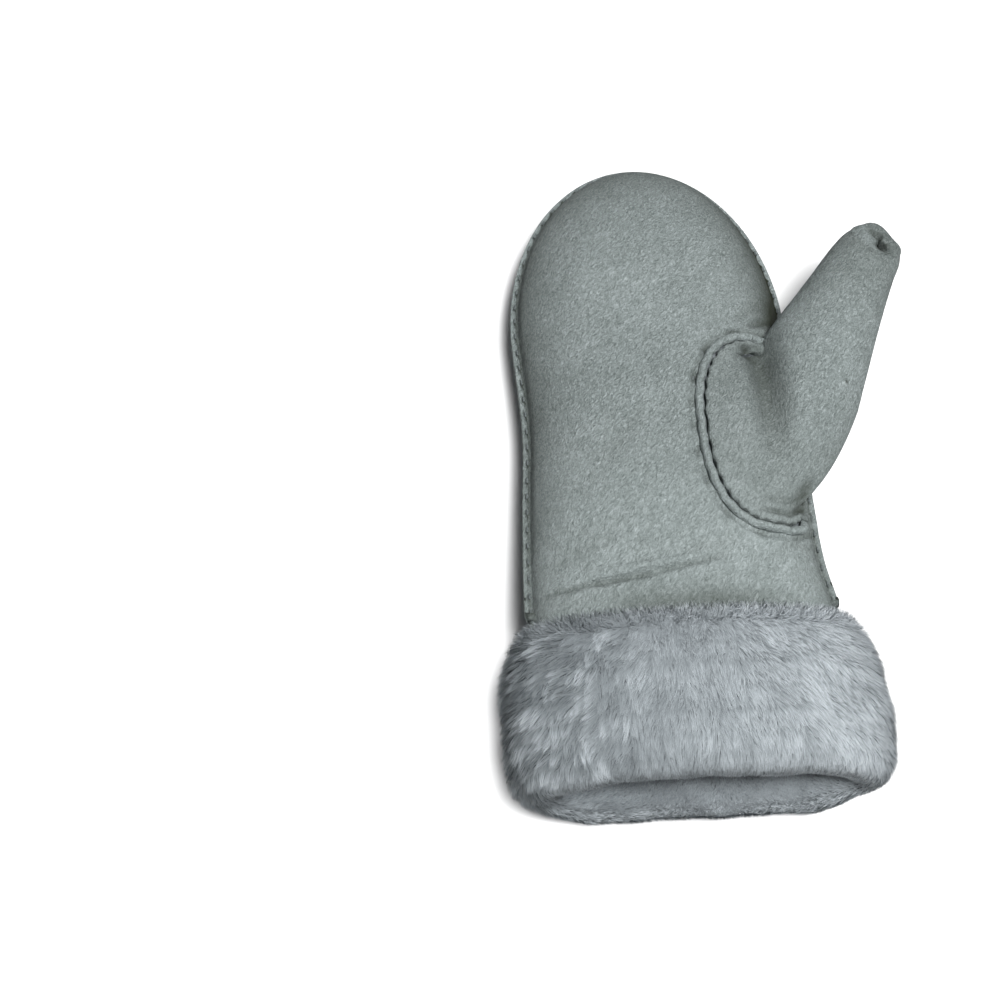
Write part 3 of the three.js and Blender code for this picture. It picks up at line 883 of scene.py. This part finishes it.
thumb_on = np.concatenate([np.linspace(-0.1, 0, 11)[:-1], np.linspace(0, 1, 100)])
thumb_turns = np.linspace(0, 2 * np.pi, 190, endpoint=False)
thumb_grid = thumb_point(thumb_on[:, None], thumb_turns[None, :])
upper_side = blend_step(np.sin(thumb_turns), -0.1, 0.25)[None, :]
upper_side = upper_side * blend_step(thumb_on, -0.01, 0.06)[:, None]
thumb_x, thumb_y = thumb_grid[..., 0].copy(), thumb_grid[..., 1].copy()
valley = valley_depth(thumb_x, thumb_y) * upper_side
folds = fold_depth(thumb_x, thumb_y, THUMB_FOLDS) * blend_step(thumb_on, -0.02, 0.01)[:, None]
thumb_grid[..., 2] -= valley + folds
# Painted shade on the thumb, and one small mark.
thumb_shade_and_mark = VALLEY_DARK * valley + THUMB_FOLD_DARK * folds
thumb_shade_and_mark = thumb_shade_and_mark + LOW_DARK * (1 - blend_step(thumb_grid[..., 2], *LOW_HEIGHTS))
thumb_shade_and_mark = thumb_shade_and_mark + ROOT_DARK * (1 - blend_step(thumb_on, *ROOT_SHARES))[:, None]
thumb_shade_and_mark = thumb_shade_and_mark + TIP_DARK * blend_step(thumb_on, *TIP_SHARES)[:, None]
mark_away = np.hypot(thumb_x - MARK_X, thumb_y - MARK_Y)
thumb_shade_and_mark = thumb_shade_and_mark + bump(mark_away, MARK_WIDE) * upper_side
cap_rows = []
cap_shade_and_highlight = []
for share in np.linspace(0.07, 1, 14):
    angle = share * np.pi / 2
    shrink = TIP_NECK + (1 - TIP_NECK) * math.cos(angle)
    ridge = bump(share - RIDGE_AT, RIDGE_WIDE) * np.clip(np.cos(thumb_turns - RIDGE_TURN), 0, 1)
    forwards = TIP_CAP * math.sin(angle) - TIP_FUNNEL * share**6 + RIDGE_HIGH * ridge
    leaning = TIP_LEAN * (1 - math.cos(angle))
    ring = thumb_point(np.array(1.0), thumb_turns, shrink, forwards, share**2, TIP_TILT * share)
    cap_rows.append(ring + leaning)
    # Painted shade in the cap's pleats and neck, and a painted highlight on its ridge.
    in_pleats = PLEAT_DARK * share**2 * pleat_wave(thumb_turns)
    cap_shade_and_highlight.append(CAP_DARK + NECK_DARK * share**4 + in_pleats - RIDGE_HIGHLIGHT * ridge)
for share in (0.1, 0.25, 0.5, 0.75, 1):
    shrink = TIP_NECK * (1 - 0.8 * share)
    forwards = TIP_CAP - TIP_FUNNEL - TIP_SUNK * share
    ring = thumb_point(np.array(1.0), thumb_turns, shrink, forwards, 1.0, TIP_TILT)
    cap_rows.append(ring + TIP_LEAN)
    cap_shade_and_highlight.append(np.full(len(thumb_turns), SLIT_DARK))
thumb_grid = np.concatenate([thumb_grid, np.array(cap_rows)])
thumb_shade_and_mark = np.concatenate([thumb_shade_and_mark, np.array(cap_shade_and_highlight)])
thumb_wrapped = np.concatenate([thumb_grid, thumb_grid[:, :1]], axis=1)
thumb_suede = new_piece(
    "thumb_suede",
    thumb_wrapped.reshape(-1, 3),
    grid_faces(*thumb_wrapped.shape[:2]),
    suede,
    crushed=np.concatenate([thumb_shade_and_mark, thumb_shade_and_mark[:, :1]], axis=1),
)
facing_out(thumb_suede, INSIDE_THUMB)
thicken(thumb_suede, SUEDE_THICK)
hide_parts("thumb")
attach(thumb_suede, "root")


# The palm's raw edge stands up round the thumb hole as a rounded ridge. It waves a little with the
# stitches, is uneven, and lies flatter where the thumb laps over it.
LIP_SCALLOP = 0.12
LIP_UNEVEN = ((0.12, 5, 1.0), (0.1, 13, 0.0), (0.06, 29, 0.0))
LIP_FLATTER = 0.8
LIP_SUNK = 1.6
LIP_OUTER = 1.25
LIP_OUTER_WAVE = 1.2

lip_psi = np.linspace(0, 2 * np.pi, 520, endpoint=False)
lip_away = (LIP_GAP + LIP_WIDE) / 2
lip_line, lip_normal = hole_point(lip_psi, -lip_away)
lip_ahead, _ = hole_point(lip_psi + 0.02, -lip_away)
lip_outwards = unit(np.cross(lip_ahead - lip_line, lip_normal))
lip_run = run_along(np.concatenate([lip_line, lip_line[:1]]))
lip_pitch = lip_run[-1] / round(lip_run[-1] / STITCH_PITCH)
lip_wave = LIP_SCALLOP * np.cos(2 * np.pi * lip_run[:-1] / lip_pitch)
lip_lapped = lapped(lip_psi)
uneven = sum(size * np.sin(times * lip_psi + start) for size, times, start in LIP_UNEVEN)
lip_flatter = (1 - LIP_FLATTER * lip_lapped) * (1 + uneven)
lip_line = lip_line - lip_normal * (LIP_SUNK * lip_lapped)[:, None]
lip_rows = []
for turn in np.radians(np.linspace(-35, 215, 15)):
    across = LIP_WIDE / 2 * np.cos(turn)
    if across < 0:
        across = across + lip_wave * abs(math.cos(turn))
    else:
        across = across * (LIP_OUTER + LIP_OUTER_WAVE * lip_wave)
    high = LIP_HIGH * np.sin(turn) * (1 if math.sin(turn) > 0 else 0.5)
    outwards = lip_outwards * across[:, None]
    lip_rows.append(lip_line + outwards + lip_normal * (high * lip_flatter)[:, None])
lip_ring = np.stack(lip_rows, axis=1)
lip_ring = np.concatenate([lip_ring, lip_ring[:, :1]], axis=1)
palm_lip = new_piece(
    "palm_seam_lip", lip_ring.reshape(-1, 3), grid_faces(*lip_ring.shape[:2], closed=True), suede
)
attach(palm_lip, "root")


# Hand stitches. Grey thread lies in each dimple of the side seam, and in the groove outside the
# raised edge of the thumb seam. The thumb seam's stop where the thumb's edge laps over.
THREAD_WIDE = 1.0
THREAD_LONG = 2.5
THREAD_SIDES = 8
THREAD_RINGS = (-1, -0.85, -0.5, 0, 0.5, 0.85, 1)
THREAD_SAG = 0.5
LOOP_STITCHES_END = 1.45 * np.pi
LOOP_THREAD_LOW = 1.5


def thread_finish():
    material, start, shader = new_material("grey_thread")
    place = start.node("ShaderNodeTexCoord", output="Object")
    fuzz = start.node("ShaderNodeTexNoise", None, {"Vector": place, "Scale": 1800, "Detail": 2})
    # The thread has the suede's grey; its darker colour here is painted shade of the dimples it lies in.
    colour = start.node(
        "ShaderNodeValToRGB",
        {"stops": [(0.35, srgb(62, 68, 68)[:3]), (0.65, srgb(92, 99, 99)[:3])]},
        {"Fac": fuzz},
    )
    feed(colour, shader, "Base Color")
    shader.inputs["Roughness"].default_value = 0.8
    return material


def stitch_row(name, seats, alongs, ups, material):
    """Short threads, each a capsule sunk halfway into the suede."""
    points = []
    faces = []
    for seat, along, up in zip(seats, alongs, ups):
        along = unit(along)
        across = unit(np.cross(up, along))
        lift = np.cross(along, across)
        first = len(points)
        for share in THREAD_RINGS:
            round_end = math.sqrt(max(0.02, 1 - share**4)) * THREAD_WIDE / 2
            sunk = -THREAD_SAG * share**2
            middle = seat + along * (share * THREAD_LONG / 2) + lift * sunk
            for corner in range(THREAD_SIDES):
                turn = 2 * math.pi * corner / THREAD_SIDES
                points.append(middle + (across * math.cos(turn) + lift * math.sin(turn)) * round_end)
        last = len(THREAD_RINGS) - 1
        for ring in range(last):
            for corner in range(THREAD_SIDES):
                here = first + ring * THREAD_SIDES + corner
                beside = first + ring * THREAD_SIDES + (corner + 1) % THREAD_SIDES
                faces.append((here, beside, beside + THREAD_SIDES, here + THREAD_SIDES))
        faces.append(tuple(first + corner for corner in range(THREAD_SIDES)))
        faces.append(tuple(first + last * THREAD_SIDES + corner for corner in range(THREAD_SIDES)))
    threads = new_piece(name, points, faces, material, closest=0.001)
    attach(threads, "root")


thread = thread_finish()
stitch_row("side_seam_stitches", *side_stitches, thread)
loop_turns = (np.arange(2 * LOOP_STITCHES) + 0.5) * np.pi / LOOP_STITCHES
loop_turns = loop_turns[loop_turns < LOOP_STITCHES_END]
loop_seat, loop_up = hole_point(loop_turns, -GROOVE_AWAY)
loop_ahead, _ = hole_point(loop_turns + 0.02, -GROOVE_AWAY)
loop_along = loop_ahead - loop_seat
stitch_row("thumb_seam_stitches", loop_seat - loop_up * LOOP_THREAD_LOW, loop_along, loop_up, thread)


# Cuff. The sheepskin is turned back over the wrist, so that its fleece shows. The pile is dense
# and soft, lies in clumps, and rolls over the mouth into the hand.
CUFF_GAP = 0.55
CUFF_SKIN = 1.5
LINING_END_Y = -111.7

# The roll's outline, from the turned-back edge over the mouth to the lining: how far outside the
# hand's form each point lies, and its Y. FULLEST counts to a row where it is fullest.
ROLL = (
    (2.9, CUFF_EDGE_Y - 0.6),
    (5.2, -75.6),
    (9.6, -82),
    (12.2, -92),
    (13.2, -104),
    (13.2, -117),
    (11.4, -128.6),
    (6.8, -135.6),
    (1.2, -137.4),
    (-4, -135),
    (-7.6, -129),
    (-9.2, -121),
    (-9.3, LINING_END_Y - SEAM_GAP),
)
FULLEST = 4


def cuff_point(angle, y, out):
    """Points of the cuff. angle starts at the thumb's side and runs over the palm."""
    sideways = np.where(np.cos(angle) >= 0, 1.0, -1.0)
    phi = np.arcsin(np.minimum(1, np.abs(np.sin(angle))))
    over = hand_point(y, sideways, 0.0, phi, grow=out)
    under = hand_point(y, sideways, 0.0, phi, grow=out, on_back=True)
    return np.where((np.sin(angle) < 0)[..., None], under, over)


def even_angles(count):
    """Angles round the wrist that are evenly spaced along the cuff's outside."""
    fine = np.linspace(0, 2 * np.pi, 1441)
    out, y = ROLL[FULLEST]
    run = run_along(cuff_point(fine, np.full_like(fine, y), np.full_like(fine, out)))
    return np.interp(np.arange(count) / count * run[-1], run, fine)


# The pile's base lies below the roll's outline, in soft lumps. It is less deep and smoother where the
# wool is short, on the table and inside the mouth. The mouth's upper side is drawn back, and its lower
# lip bulges out. Each pair of places says where a change starts and ends.
GIRTH_STEPS = 300
ROLL_STEPS = 110
OUTER_ROW = 40
PILE_DEEP = 2.0
SWELL_IN = 8
SWELL_OUT = 10
LUMPS = 0.9
SHORT_LUMPS = 0.5
SHORT_DEEP = 0.7
SHORT_HEIGHTS = (3, 16)
SHORT_INSIDE = (0.7, 0.8)
MOUTH_DRAWN_BACK = 2.0
UPPER_HEIGHTS = (24, 42)
UPPER_LIP_Y = (116, 134)
LIP_BULGE = 3.4
LOWER_HEIGHTS = (6, 24)
LOWER_LIP_Y = (112, 132)
TABLE_CLEAR = 0.3
roll_table = [(n, out, y) for n, (out, y) in enumerate(ROLL)]
roll_fine = np.linspace(0, len(ROLL) - 1, 1200)
_, roll_out, roll_y = read_smoothly(roll_table, roll_fine)
roll_run = run_along(np.stack([roll_out, roll_y], -1))


def roll_at(run):
    """The roll's outline at a length along it, from the turned-back edge to the lining."""
    return np.interp(run, roll_run, roll_out), np.interp(run, roll_run, roll_y)


def pile_lumps(points):
    """Soft uneven heights of the pile, from overlapping waves."""
    x, y, z = np.moveaxis(points, -1, 0)
    waves = (
        np.sin(x * 0.19 + 1.3 * np.sin(y * 0.11 + 0.7) + z * 0.13)
        + np.sin(y * 0.27 + 1.1 * np.sin(x * 0.09) - z * 0.21 + 2.1)
        + 0.7 * np.sin(x * 0.41 - y * 0.33 + z * 0.37 + 0.4)
    )
    return waves / 2.7


cuff_angles = even_angles(GIRTH_STEPS)
cuff_runs = np.linspace(0, roll_run[-1], ROLL_STEPS)
cuff_out, cuff_y = roll_at(cuff_runs)
cuff_grid = cuff_point(cuff_angles[:, None], cuff_y[None, :], cuff_out[None, :])
cuff_normal = sheet_normals(np.concatenate([cuff_grid[-1:], cuff_grid, cuff_grid[:1]]))[1:-1]
outer_ring = cuff_grid[:, OUTER_ROW]
if (cuff_normal[:, OUTER_ROW] * (outer_ring - outer_ring.mean(axis=0))).sum() < 0:
    cuff_normal = -cuff_normal
roll_end = roll_run[-1]
swell = blend_step(cuff_runs, 0, SWELL_IN) * (1 - blend_step(cuff_runs, roll_end - SWELL_OUT, roll_end))
short_pile = 1 - blend_step(cuff_grid[..., 2], *SHORT_HEIGHTS)
short_inside = blend_step(cuff_runs, roll_end * SHORT_INSIDE[0], roll_end * SHORT_INSIDE[1])
short_pile = np.maximum(short_pile, short_inside)
cuff_lumps = pile_lumps(cuff_grid) * (LUMPS - SHORT_LUMPS * short_pile)
cuff_lumps = cuff_lumps - PILE_DEEP * (1 - SHORT_DEEP * short_pile)
cuff_grid = cuff_grid + cuff_normal * (cuff_lumps * swell[None, :])[..., None]
drawn_back = blend_step(cuff_grid[..., 2], *UPPER_HEIGHTS) * blend_step(-cuff_grid[..., 1], *UPPER_LIP_Y)
cuff_grid[..., 1] += MOUTH_DRAWN_BACK * drawn_back
bulging = 1 - blend_step(cuff_grid[..., 2], *LOWER_HEIGHTS)
bulging = bulging * blend_step(-cuff_grid[..., 1], *LOWER_LIP_Y)
cuff_grid[..., 1] -= LIP_BULGE * bulging
cuff_grid[..., 2] = np.maximum(cuff_grid[..., 2], TABLE_CLEAR)


def fleece_finish(name):
    """The base of the sheepskin's pile, in soft clumps of tone. It shows between the strands."""
    material, start, shader = new_material(name)
    place = start.node("ShaderNodeTexCoord", output="Object")
    clumps = start.node(
        "ShaderNodeTexNoise", None, {"Vector": place, "Scale": 120, "Detail": 3, "Distortion": 1.0}
    )
    colour = start.node(
        "ShaderNodeValToRGB",
        {"stops": [(0.3, srgb(94, 99, 102)[:3]), (0.7, srgb(120, 126, 129)[:3])]},
        {"Fac": clumps},
    )
    feed(colour, shader, "Base Color")
    fibres = start.node(
        "ShaderNodeTexNoise", None, {"Vector": place, "Scale": 700, "Detail": 4, "Roughness": 0.7}
    )
    surface = start.node(
        "ShaderNodeBump", None, {"Strength": 0.8, "Distance": 0.0015, "Height": fibres}
    )
    feed(surface, shader, "Normal")
    shader.inputs["Roughness"].default_value = 1.0
    shader.inputs["Specular IOR Level"].default_value = 0.1
    return material


def strand_finish(name):
    """Single strands of wool, with painted shade towards the root, and each clump its own tone."""
    material, start, shader = new_material(name)
    along = start.node("ShaderNodeSeparateXYZ", None, {0: start.node("ShaderNodeUVMap")}, output=1)
    tone = start.node("ShaderNodeSeparateXYZ", None, {0: start.node("ShaderNodeUVMap")}, output=0)
    # Painted shade towards the root stands in for the shadow that the strands don't cast.
    mixed = along * 0.45 + tone * 0.55
    colour = start.node(
        "ShaderNodeValToRGB",
        {
            "stops": [
                (0.10, srgb(82, 87, 90)[:3]),
                (0.50, srgb(120, 126, 129)[:3]),
                (0.90, srgb(174, 180, 184)[:3]),
            ]
        },
        {"Fac": mixed},
    )
    feed(colour, shader, "Base Color")
    shader.inputs["Roughness"].default_value = 0.9
    shader.inputs["Specular IOR Level"].default_value = 0.15
    return material


fleece = fleece_finish("sheepskin_fleece")
wool = strand_finish("wool_strands")

backing = CUFF_SKIN + 2 * CUFF_GAP
hidden_side = (
    (-SUEDE_THICK - CUFF_GAP, LINING_END_Y - SEAM_GAP),
    (-SUEDE_THICK - CUFF_GAP, HEM_Y - CUFF_GAP),
    (backing, HEM_Y - CUFF_GAP),
    (backing, CUFF_EDGE_Y - 3),
)
hidden_rings = [cuff_point(cuff_angles, np.array(y), np.array(out)) for out, y in hidden_side]
hidden_grid = np.stack(hidden_rings, 1)
cuff_ring = np.concatenate([cuff_grid, hidden_grid, cuff_grid[:, :1]], axis=1)
cuff_base = new_piece(
    "cuff_pile_base",
    cuff_ring.reshape(-1, 3),
    grid_faces(*cuff_ring.shape[:2], closed=True),
    fleece,
)
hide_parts("cuff_fleece")
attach(cuff_base, "root")

# Strands, in batches, each one joined mesh. A strand is a flat ribbon with a kink. They stand in
# clumps: each row gives the clumps' size and seed, and how far they hold their strands and sway.
STRANDS_PER_BATCH = 62000
BATCHES = 3
STRAND_LONG = 5.0
STRAND_WIDE = 0.13
RIBBON_POINTS = 5
CLUMPS = ((9.0, 3.0, 0.4, 0.9), (3.5, 8.0, 0.5, 0.5))

# Shares along the roll where the pile changes: the lower lip's front starts and ends, and the wool
# is shorter inside, and darker deep inside. The pile is wild, with longer tufts, at one side.
FRONT_STARTS = (0.4, 0.52)
FRONT_ENDS = (0.68, 0.76)
INSIDE = (0.55, 0.68)
DEEP_INSIDE = (0.71, 0.8)
WILD_X = (-52, -8)
EDGE_TUFT_ROWS = (1, 13)
UNDER_HEIGHTS = (3, 14)
LOWER_LIP_HEIGHTS = (12, 26)

# Tone of the strands, from 0 dark to 1 pale.
TONE = 0.38
TONE_CHANCE = 0.06
# Painted light: the wool is paler towards the thumb's side.
TONE_ACROSS = 0.4
TONE_ACROSS_X = (-40, 66)
TONE_LUMPS = 0.13
# Painted light on the edge tufts and on the lower lip's front, and painted shade deep inside the mouth.
TONE_EDGE_TUFT = 0.34
TONE_DEEP_INSIDE = 0.6
TONE_LOWER_LIP = 0.4
TONE_CLUMP = 0.07
TONE_CLUMP_WILD = 0.65

dice = np.random.default_rng(11)


def pile_at(u, v):
    """Point, outward and combed directions of the pile's base at fractional grid places."""
    girth = len(cuff_angles)
    rows = len(cuff_runs)
    v = np.clip(v, 0, rows - 1.001)
    i = np.floor(u).astype(int)
    j = np.floor(v).astype(int)
    fu = (u - i)[:, None]
    fv = (v - j)[:, None]
    near = i % girth
    far = (i + 1) % girth
    low = cuff_grid[near, j] * (1 - fu) + cuff_grid[far, j] * fu
    high = cuff_grid[near, j + 1] * (1 - fu) + cuff_grid[far, j + 1] * fu
    return low * (1 - fv) + high * fv, cuff_normal[near, j], unit(high - low)


def clump_of(u, v, size, seed):
    """The centre of the clump that each strand belongs to, with two chances for the clump."""
    warp_u = np.sin(u * 0.23 + 1.7 * np.sin(v * 0.19 + seed)) * 0.8
    warp_v = np.sin(v * 0.31 + 1.3 * np.sin(u * 0.17 - seed)) * 0.8
    cell = np.floor(np.stack([(u + warp_u) / size, (v + warp_v) / size], -1))
    mixed = np.sin(cell @ np.array([[12.9898, 39.3468], [78.233, 11.135]]) + seed) * 43758.5453
    chance = mixed - np.floor(mixed)
    centre = (cell + 0.15 + 0.7 * chance) * size
    return centre[:, 0] - warp_u, centre[:, 1] - warp_v, chance


def pile_flow(root, normal, comb, wild):
    """The direction that the pile is combed in: outwards from the middle of the palm's side."""
    side = np.cross(normal, comb)
    fan = blend_step(root[:, :1], -70, 60) - 0.62
    wave = 0.3 * np.sin(root[:, :1] * 0.21 + root[:, 1:2] * 0.13 + root[:, 2:] * 0.17)
    return unit(comb * 0.9 + side * (fan * 0.9 + wave * (0.4 + wild)))


def strand_piece(name, points, tone, facing):
    """One mesh of ribbons. Each has two points at its root, two at its kink and one at its tip.

    The UV map holds a strand's tone along U, and the way along it along V.
    """
    count = len(points)
    base = np.arange(count)[:, None] * RIBBON_POINTS
    quads = base + np.array([0, 1, 2, 3])
    tips = base + np.array([3, 2, 4])
    loops = np.concatenate([quads, tips], axis=1).ravel().astype(np.int32)
    starts = (np.arange(count)[:, None] * 7 + np.array([0, 4])).ravel().astype(np.int32)
    mesh = bpy.data.meshes.new(name)
    mesh.vertices.add(count * RIBBON_POINTS)
    mesh.vertices.foreach_set("co", (points / 1000).ravel())
    mesh.loops.add(len(loops))
    mesh.loops.foreach_set("vertex_index", loops)
    mesh.polygons.add(count * 2)
    mesh.polygons.foreach_set("loop_start", starts)
    mesh.update(calc_edges=True)
    along = np.array([0.0, 0.0, 0.55, 0.55, 1.0])
    uv = np.stack([np.repeat(tone, RIBBON_POINTS), np.tile(along, count)], -1)
    layer = mesh.uv_layers.new(name="strand")
    layer.data.foreach_set("uv", uv[loops].ravel())
    shading = np.repeat(facing[:, None, :], RIBBON_POINTS, axis=1).reshape(-1, 3)
    mesh.shade_smooth()
    mesh.normals_split_custom_set_from_vertices(shading.tolist())
    mesh.materials.append(wool)
    piece = bpy.data.objects.new(name, mesh)
    bpy.context.scene.collection.objects.link(piece)
    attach(piece, "root")
    return piece


def grow_strands(name, count):
    """Roots spread over the cuff's pile. Tips gather in small clumps, and those in larger ones."""
    rows = len(cuff_runs)
    u = dice.random(count) * len(cuff_angles)
    v = dice.random(count) * (rows - 1)
    root, normal, comb = pile_at(u, v)
    along_roll = v / rows
    wild = 1 - blend_step(root[:, :1], *WILD_X)
    inner = blend_step(along_roll, *INSIDE)[:, None]
    deep_inside = blend_step(along_roll, *DEEP_INSIDE)
    long = STRAND_LONG * (0.75 + 0.35 * dice.random((count, 1)) + 0.3 * wild)
    edge_tuft = (1 - blend_step(v, *EDGE_TUFT_ROWS))[:, None]
    under = 1 - blend_step(root[:, 2:], *UNDER_HEIGHTS)
    front = blend_step(along_roll, *FRONT_STARTS) * (1 - blend_step(along_roll, *FRONT_ENDS))
    lower_lip = (front * (1 - blend_step(root[:, 2], *LOWER_LIP_HEIGHTS)))[:, None]
    smooth = np.maximum(inner, lower_lip)
    long = long * (1 - 0.3 * edge_tuft) * (1 - 0.55 * smooth) * (1 - 0.35 * under)
    stray = dice.normal(0, 1, (count, 3)) * (1 - 0.5 * smooth)
    flow = pile_flow(root, normal, comb, wild)
    tuft_wave = 0.5 + 0.5 * np.sin(root[:, :1] * 0.9 + 2.0 * np.sin(root[:, :1] * 0.31))
    flow = flow * (1 - edge_tuft * (0.8 + 0.7 * tuft_wave)) + stray * 0.3 * edge_tuft
    heading = unit(normal * 0.75 + flow + stray * 0.16)
    first = root + heading * long * 0.5
    tip = first + unit(heading + flow * 0.35 - normal * 0.15 + stray * 0.08) * long * 0.5
    tone = TONE + TONE_CHANCE * dice.normal(0, 1, count)
    # Painted light towards the thumb's side, on the edge tufts and on the lower lip's front; painted
    # shade deep inside the mouth.
    tone = tone + TONE_ACROSS * blend_step(root[:, 0], *TONE_ACROSS_X)
    tone = tone + TONE_LUMPS * pile_lumps(root * 1.6 + 11) + TONE_EDGE_TUFT * edge_tuft[:, 0]
    tone = tone - TONE_DEEP_INSIDE * deep_inside + TONE_LOWER_LIP * lower_lip[:, 0]
    clump_tone = (TONE_CLUMP + TONE_CLUMP_WILD * wild[:, 0]) * (1 - 0.6 * smooth[:, 0])
    for size, seed, hold, sway in CLUMPS:
        centre_u, centre_v, chance = clump_of(u, v, size, seed)
        middle, up, down = pile_at(centre_u, centre_v)
        bend = np.cross(up, down) * (chance[:, :1] - 0.5) * 2 * sway * (0.35 + wild)
        lean = unit(up * 0.8 + pile_flow(middle, up, down, wild) + bend)
        peak = middle + lean * long
        keep = hold * (0.35 + 0.65 * wild) * (1 - 0.7 * smooth) * (1 - 0.6 * edge_tuft)
        tip = tip * (1 - keep) + peak * keep
        first = first * (1 - keep * 0.4) + (middle + lean * long * 0.5) * keep * 0.4
        tone = tone + (chance[:, 1] - 0.5) * clump_tone
    wide = STRAND_WIDE * (0.7 + 0.6 * dice.random((count, 1)))
    edge = unit(np.cross(tip - root, normal + dice.normal(0, 0.6, (count, 3)))) * wide / 2
    points = np.stack([root - edge, root + edge, first + edge * 0.8, first - edge * 0.8, tip], 1)
    points[..., 2] = np.maximum(points[..., 2], 0.15)
    not_under = blend_step(normal[:, 2:], -0.75, -0.15)
    upwards = np.maximum(edge_tuft * (normal[:, 2:] > 0), 1.4 * lower_lip * not_under)
    upwards = upwards * np.array([0.0, 0.0, 1.2])
    facing = unit(normal + upwards + 0.35 * unit(tip - root) + stray * 0.09)
    return strand_piece(name, points, np.clip(tone, 0, 1), facing)


# The strands cast no shadow, and the pile's base does. Shade among the strands is painted into their
# colour, darker towards the root.
for batch in range(BATCHES):
    strands = grow_strands(f"cuff_strands_{batch + 1}", STRANDS_PER_BATCH)
    strands.visible_shadow = False


# Lining and turned-back skin. They show only inside the mouth and as a thin edge above the cuff.
for name, material in (("lining_fleece", fleece), ("cuff_skin", suede)):
    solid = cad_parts[name]
    solid.data.materials.clear()
    solid.data.materials.append(material)
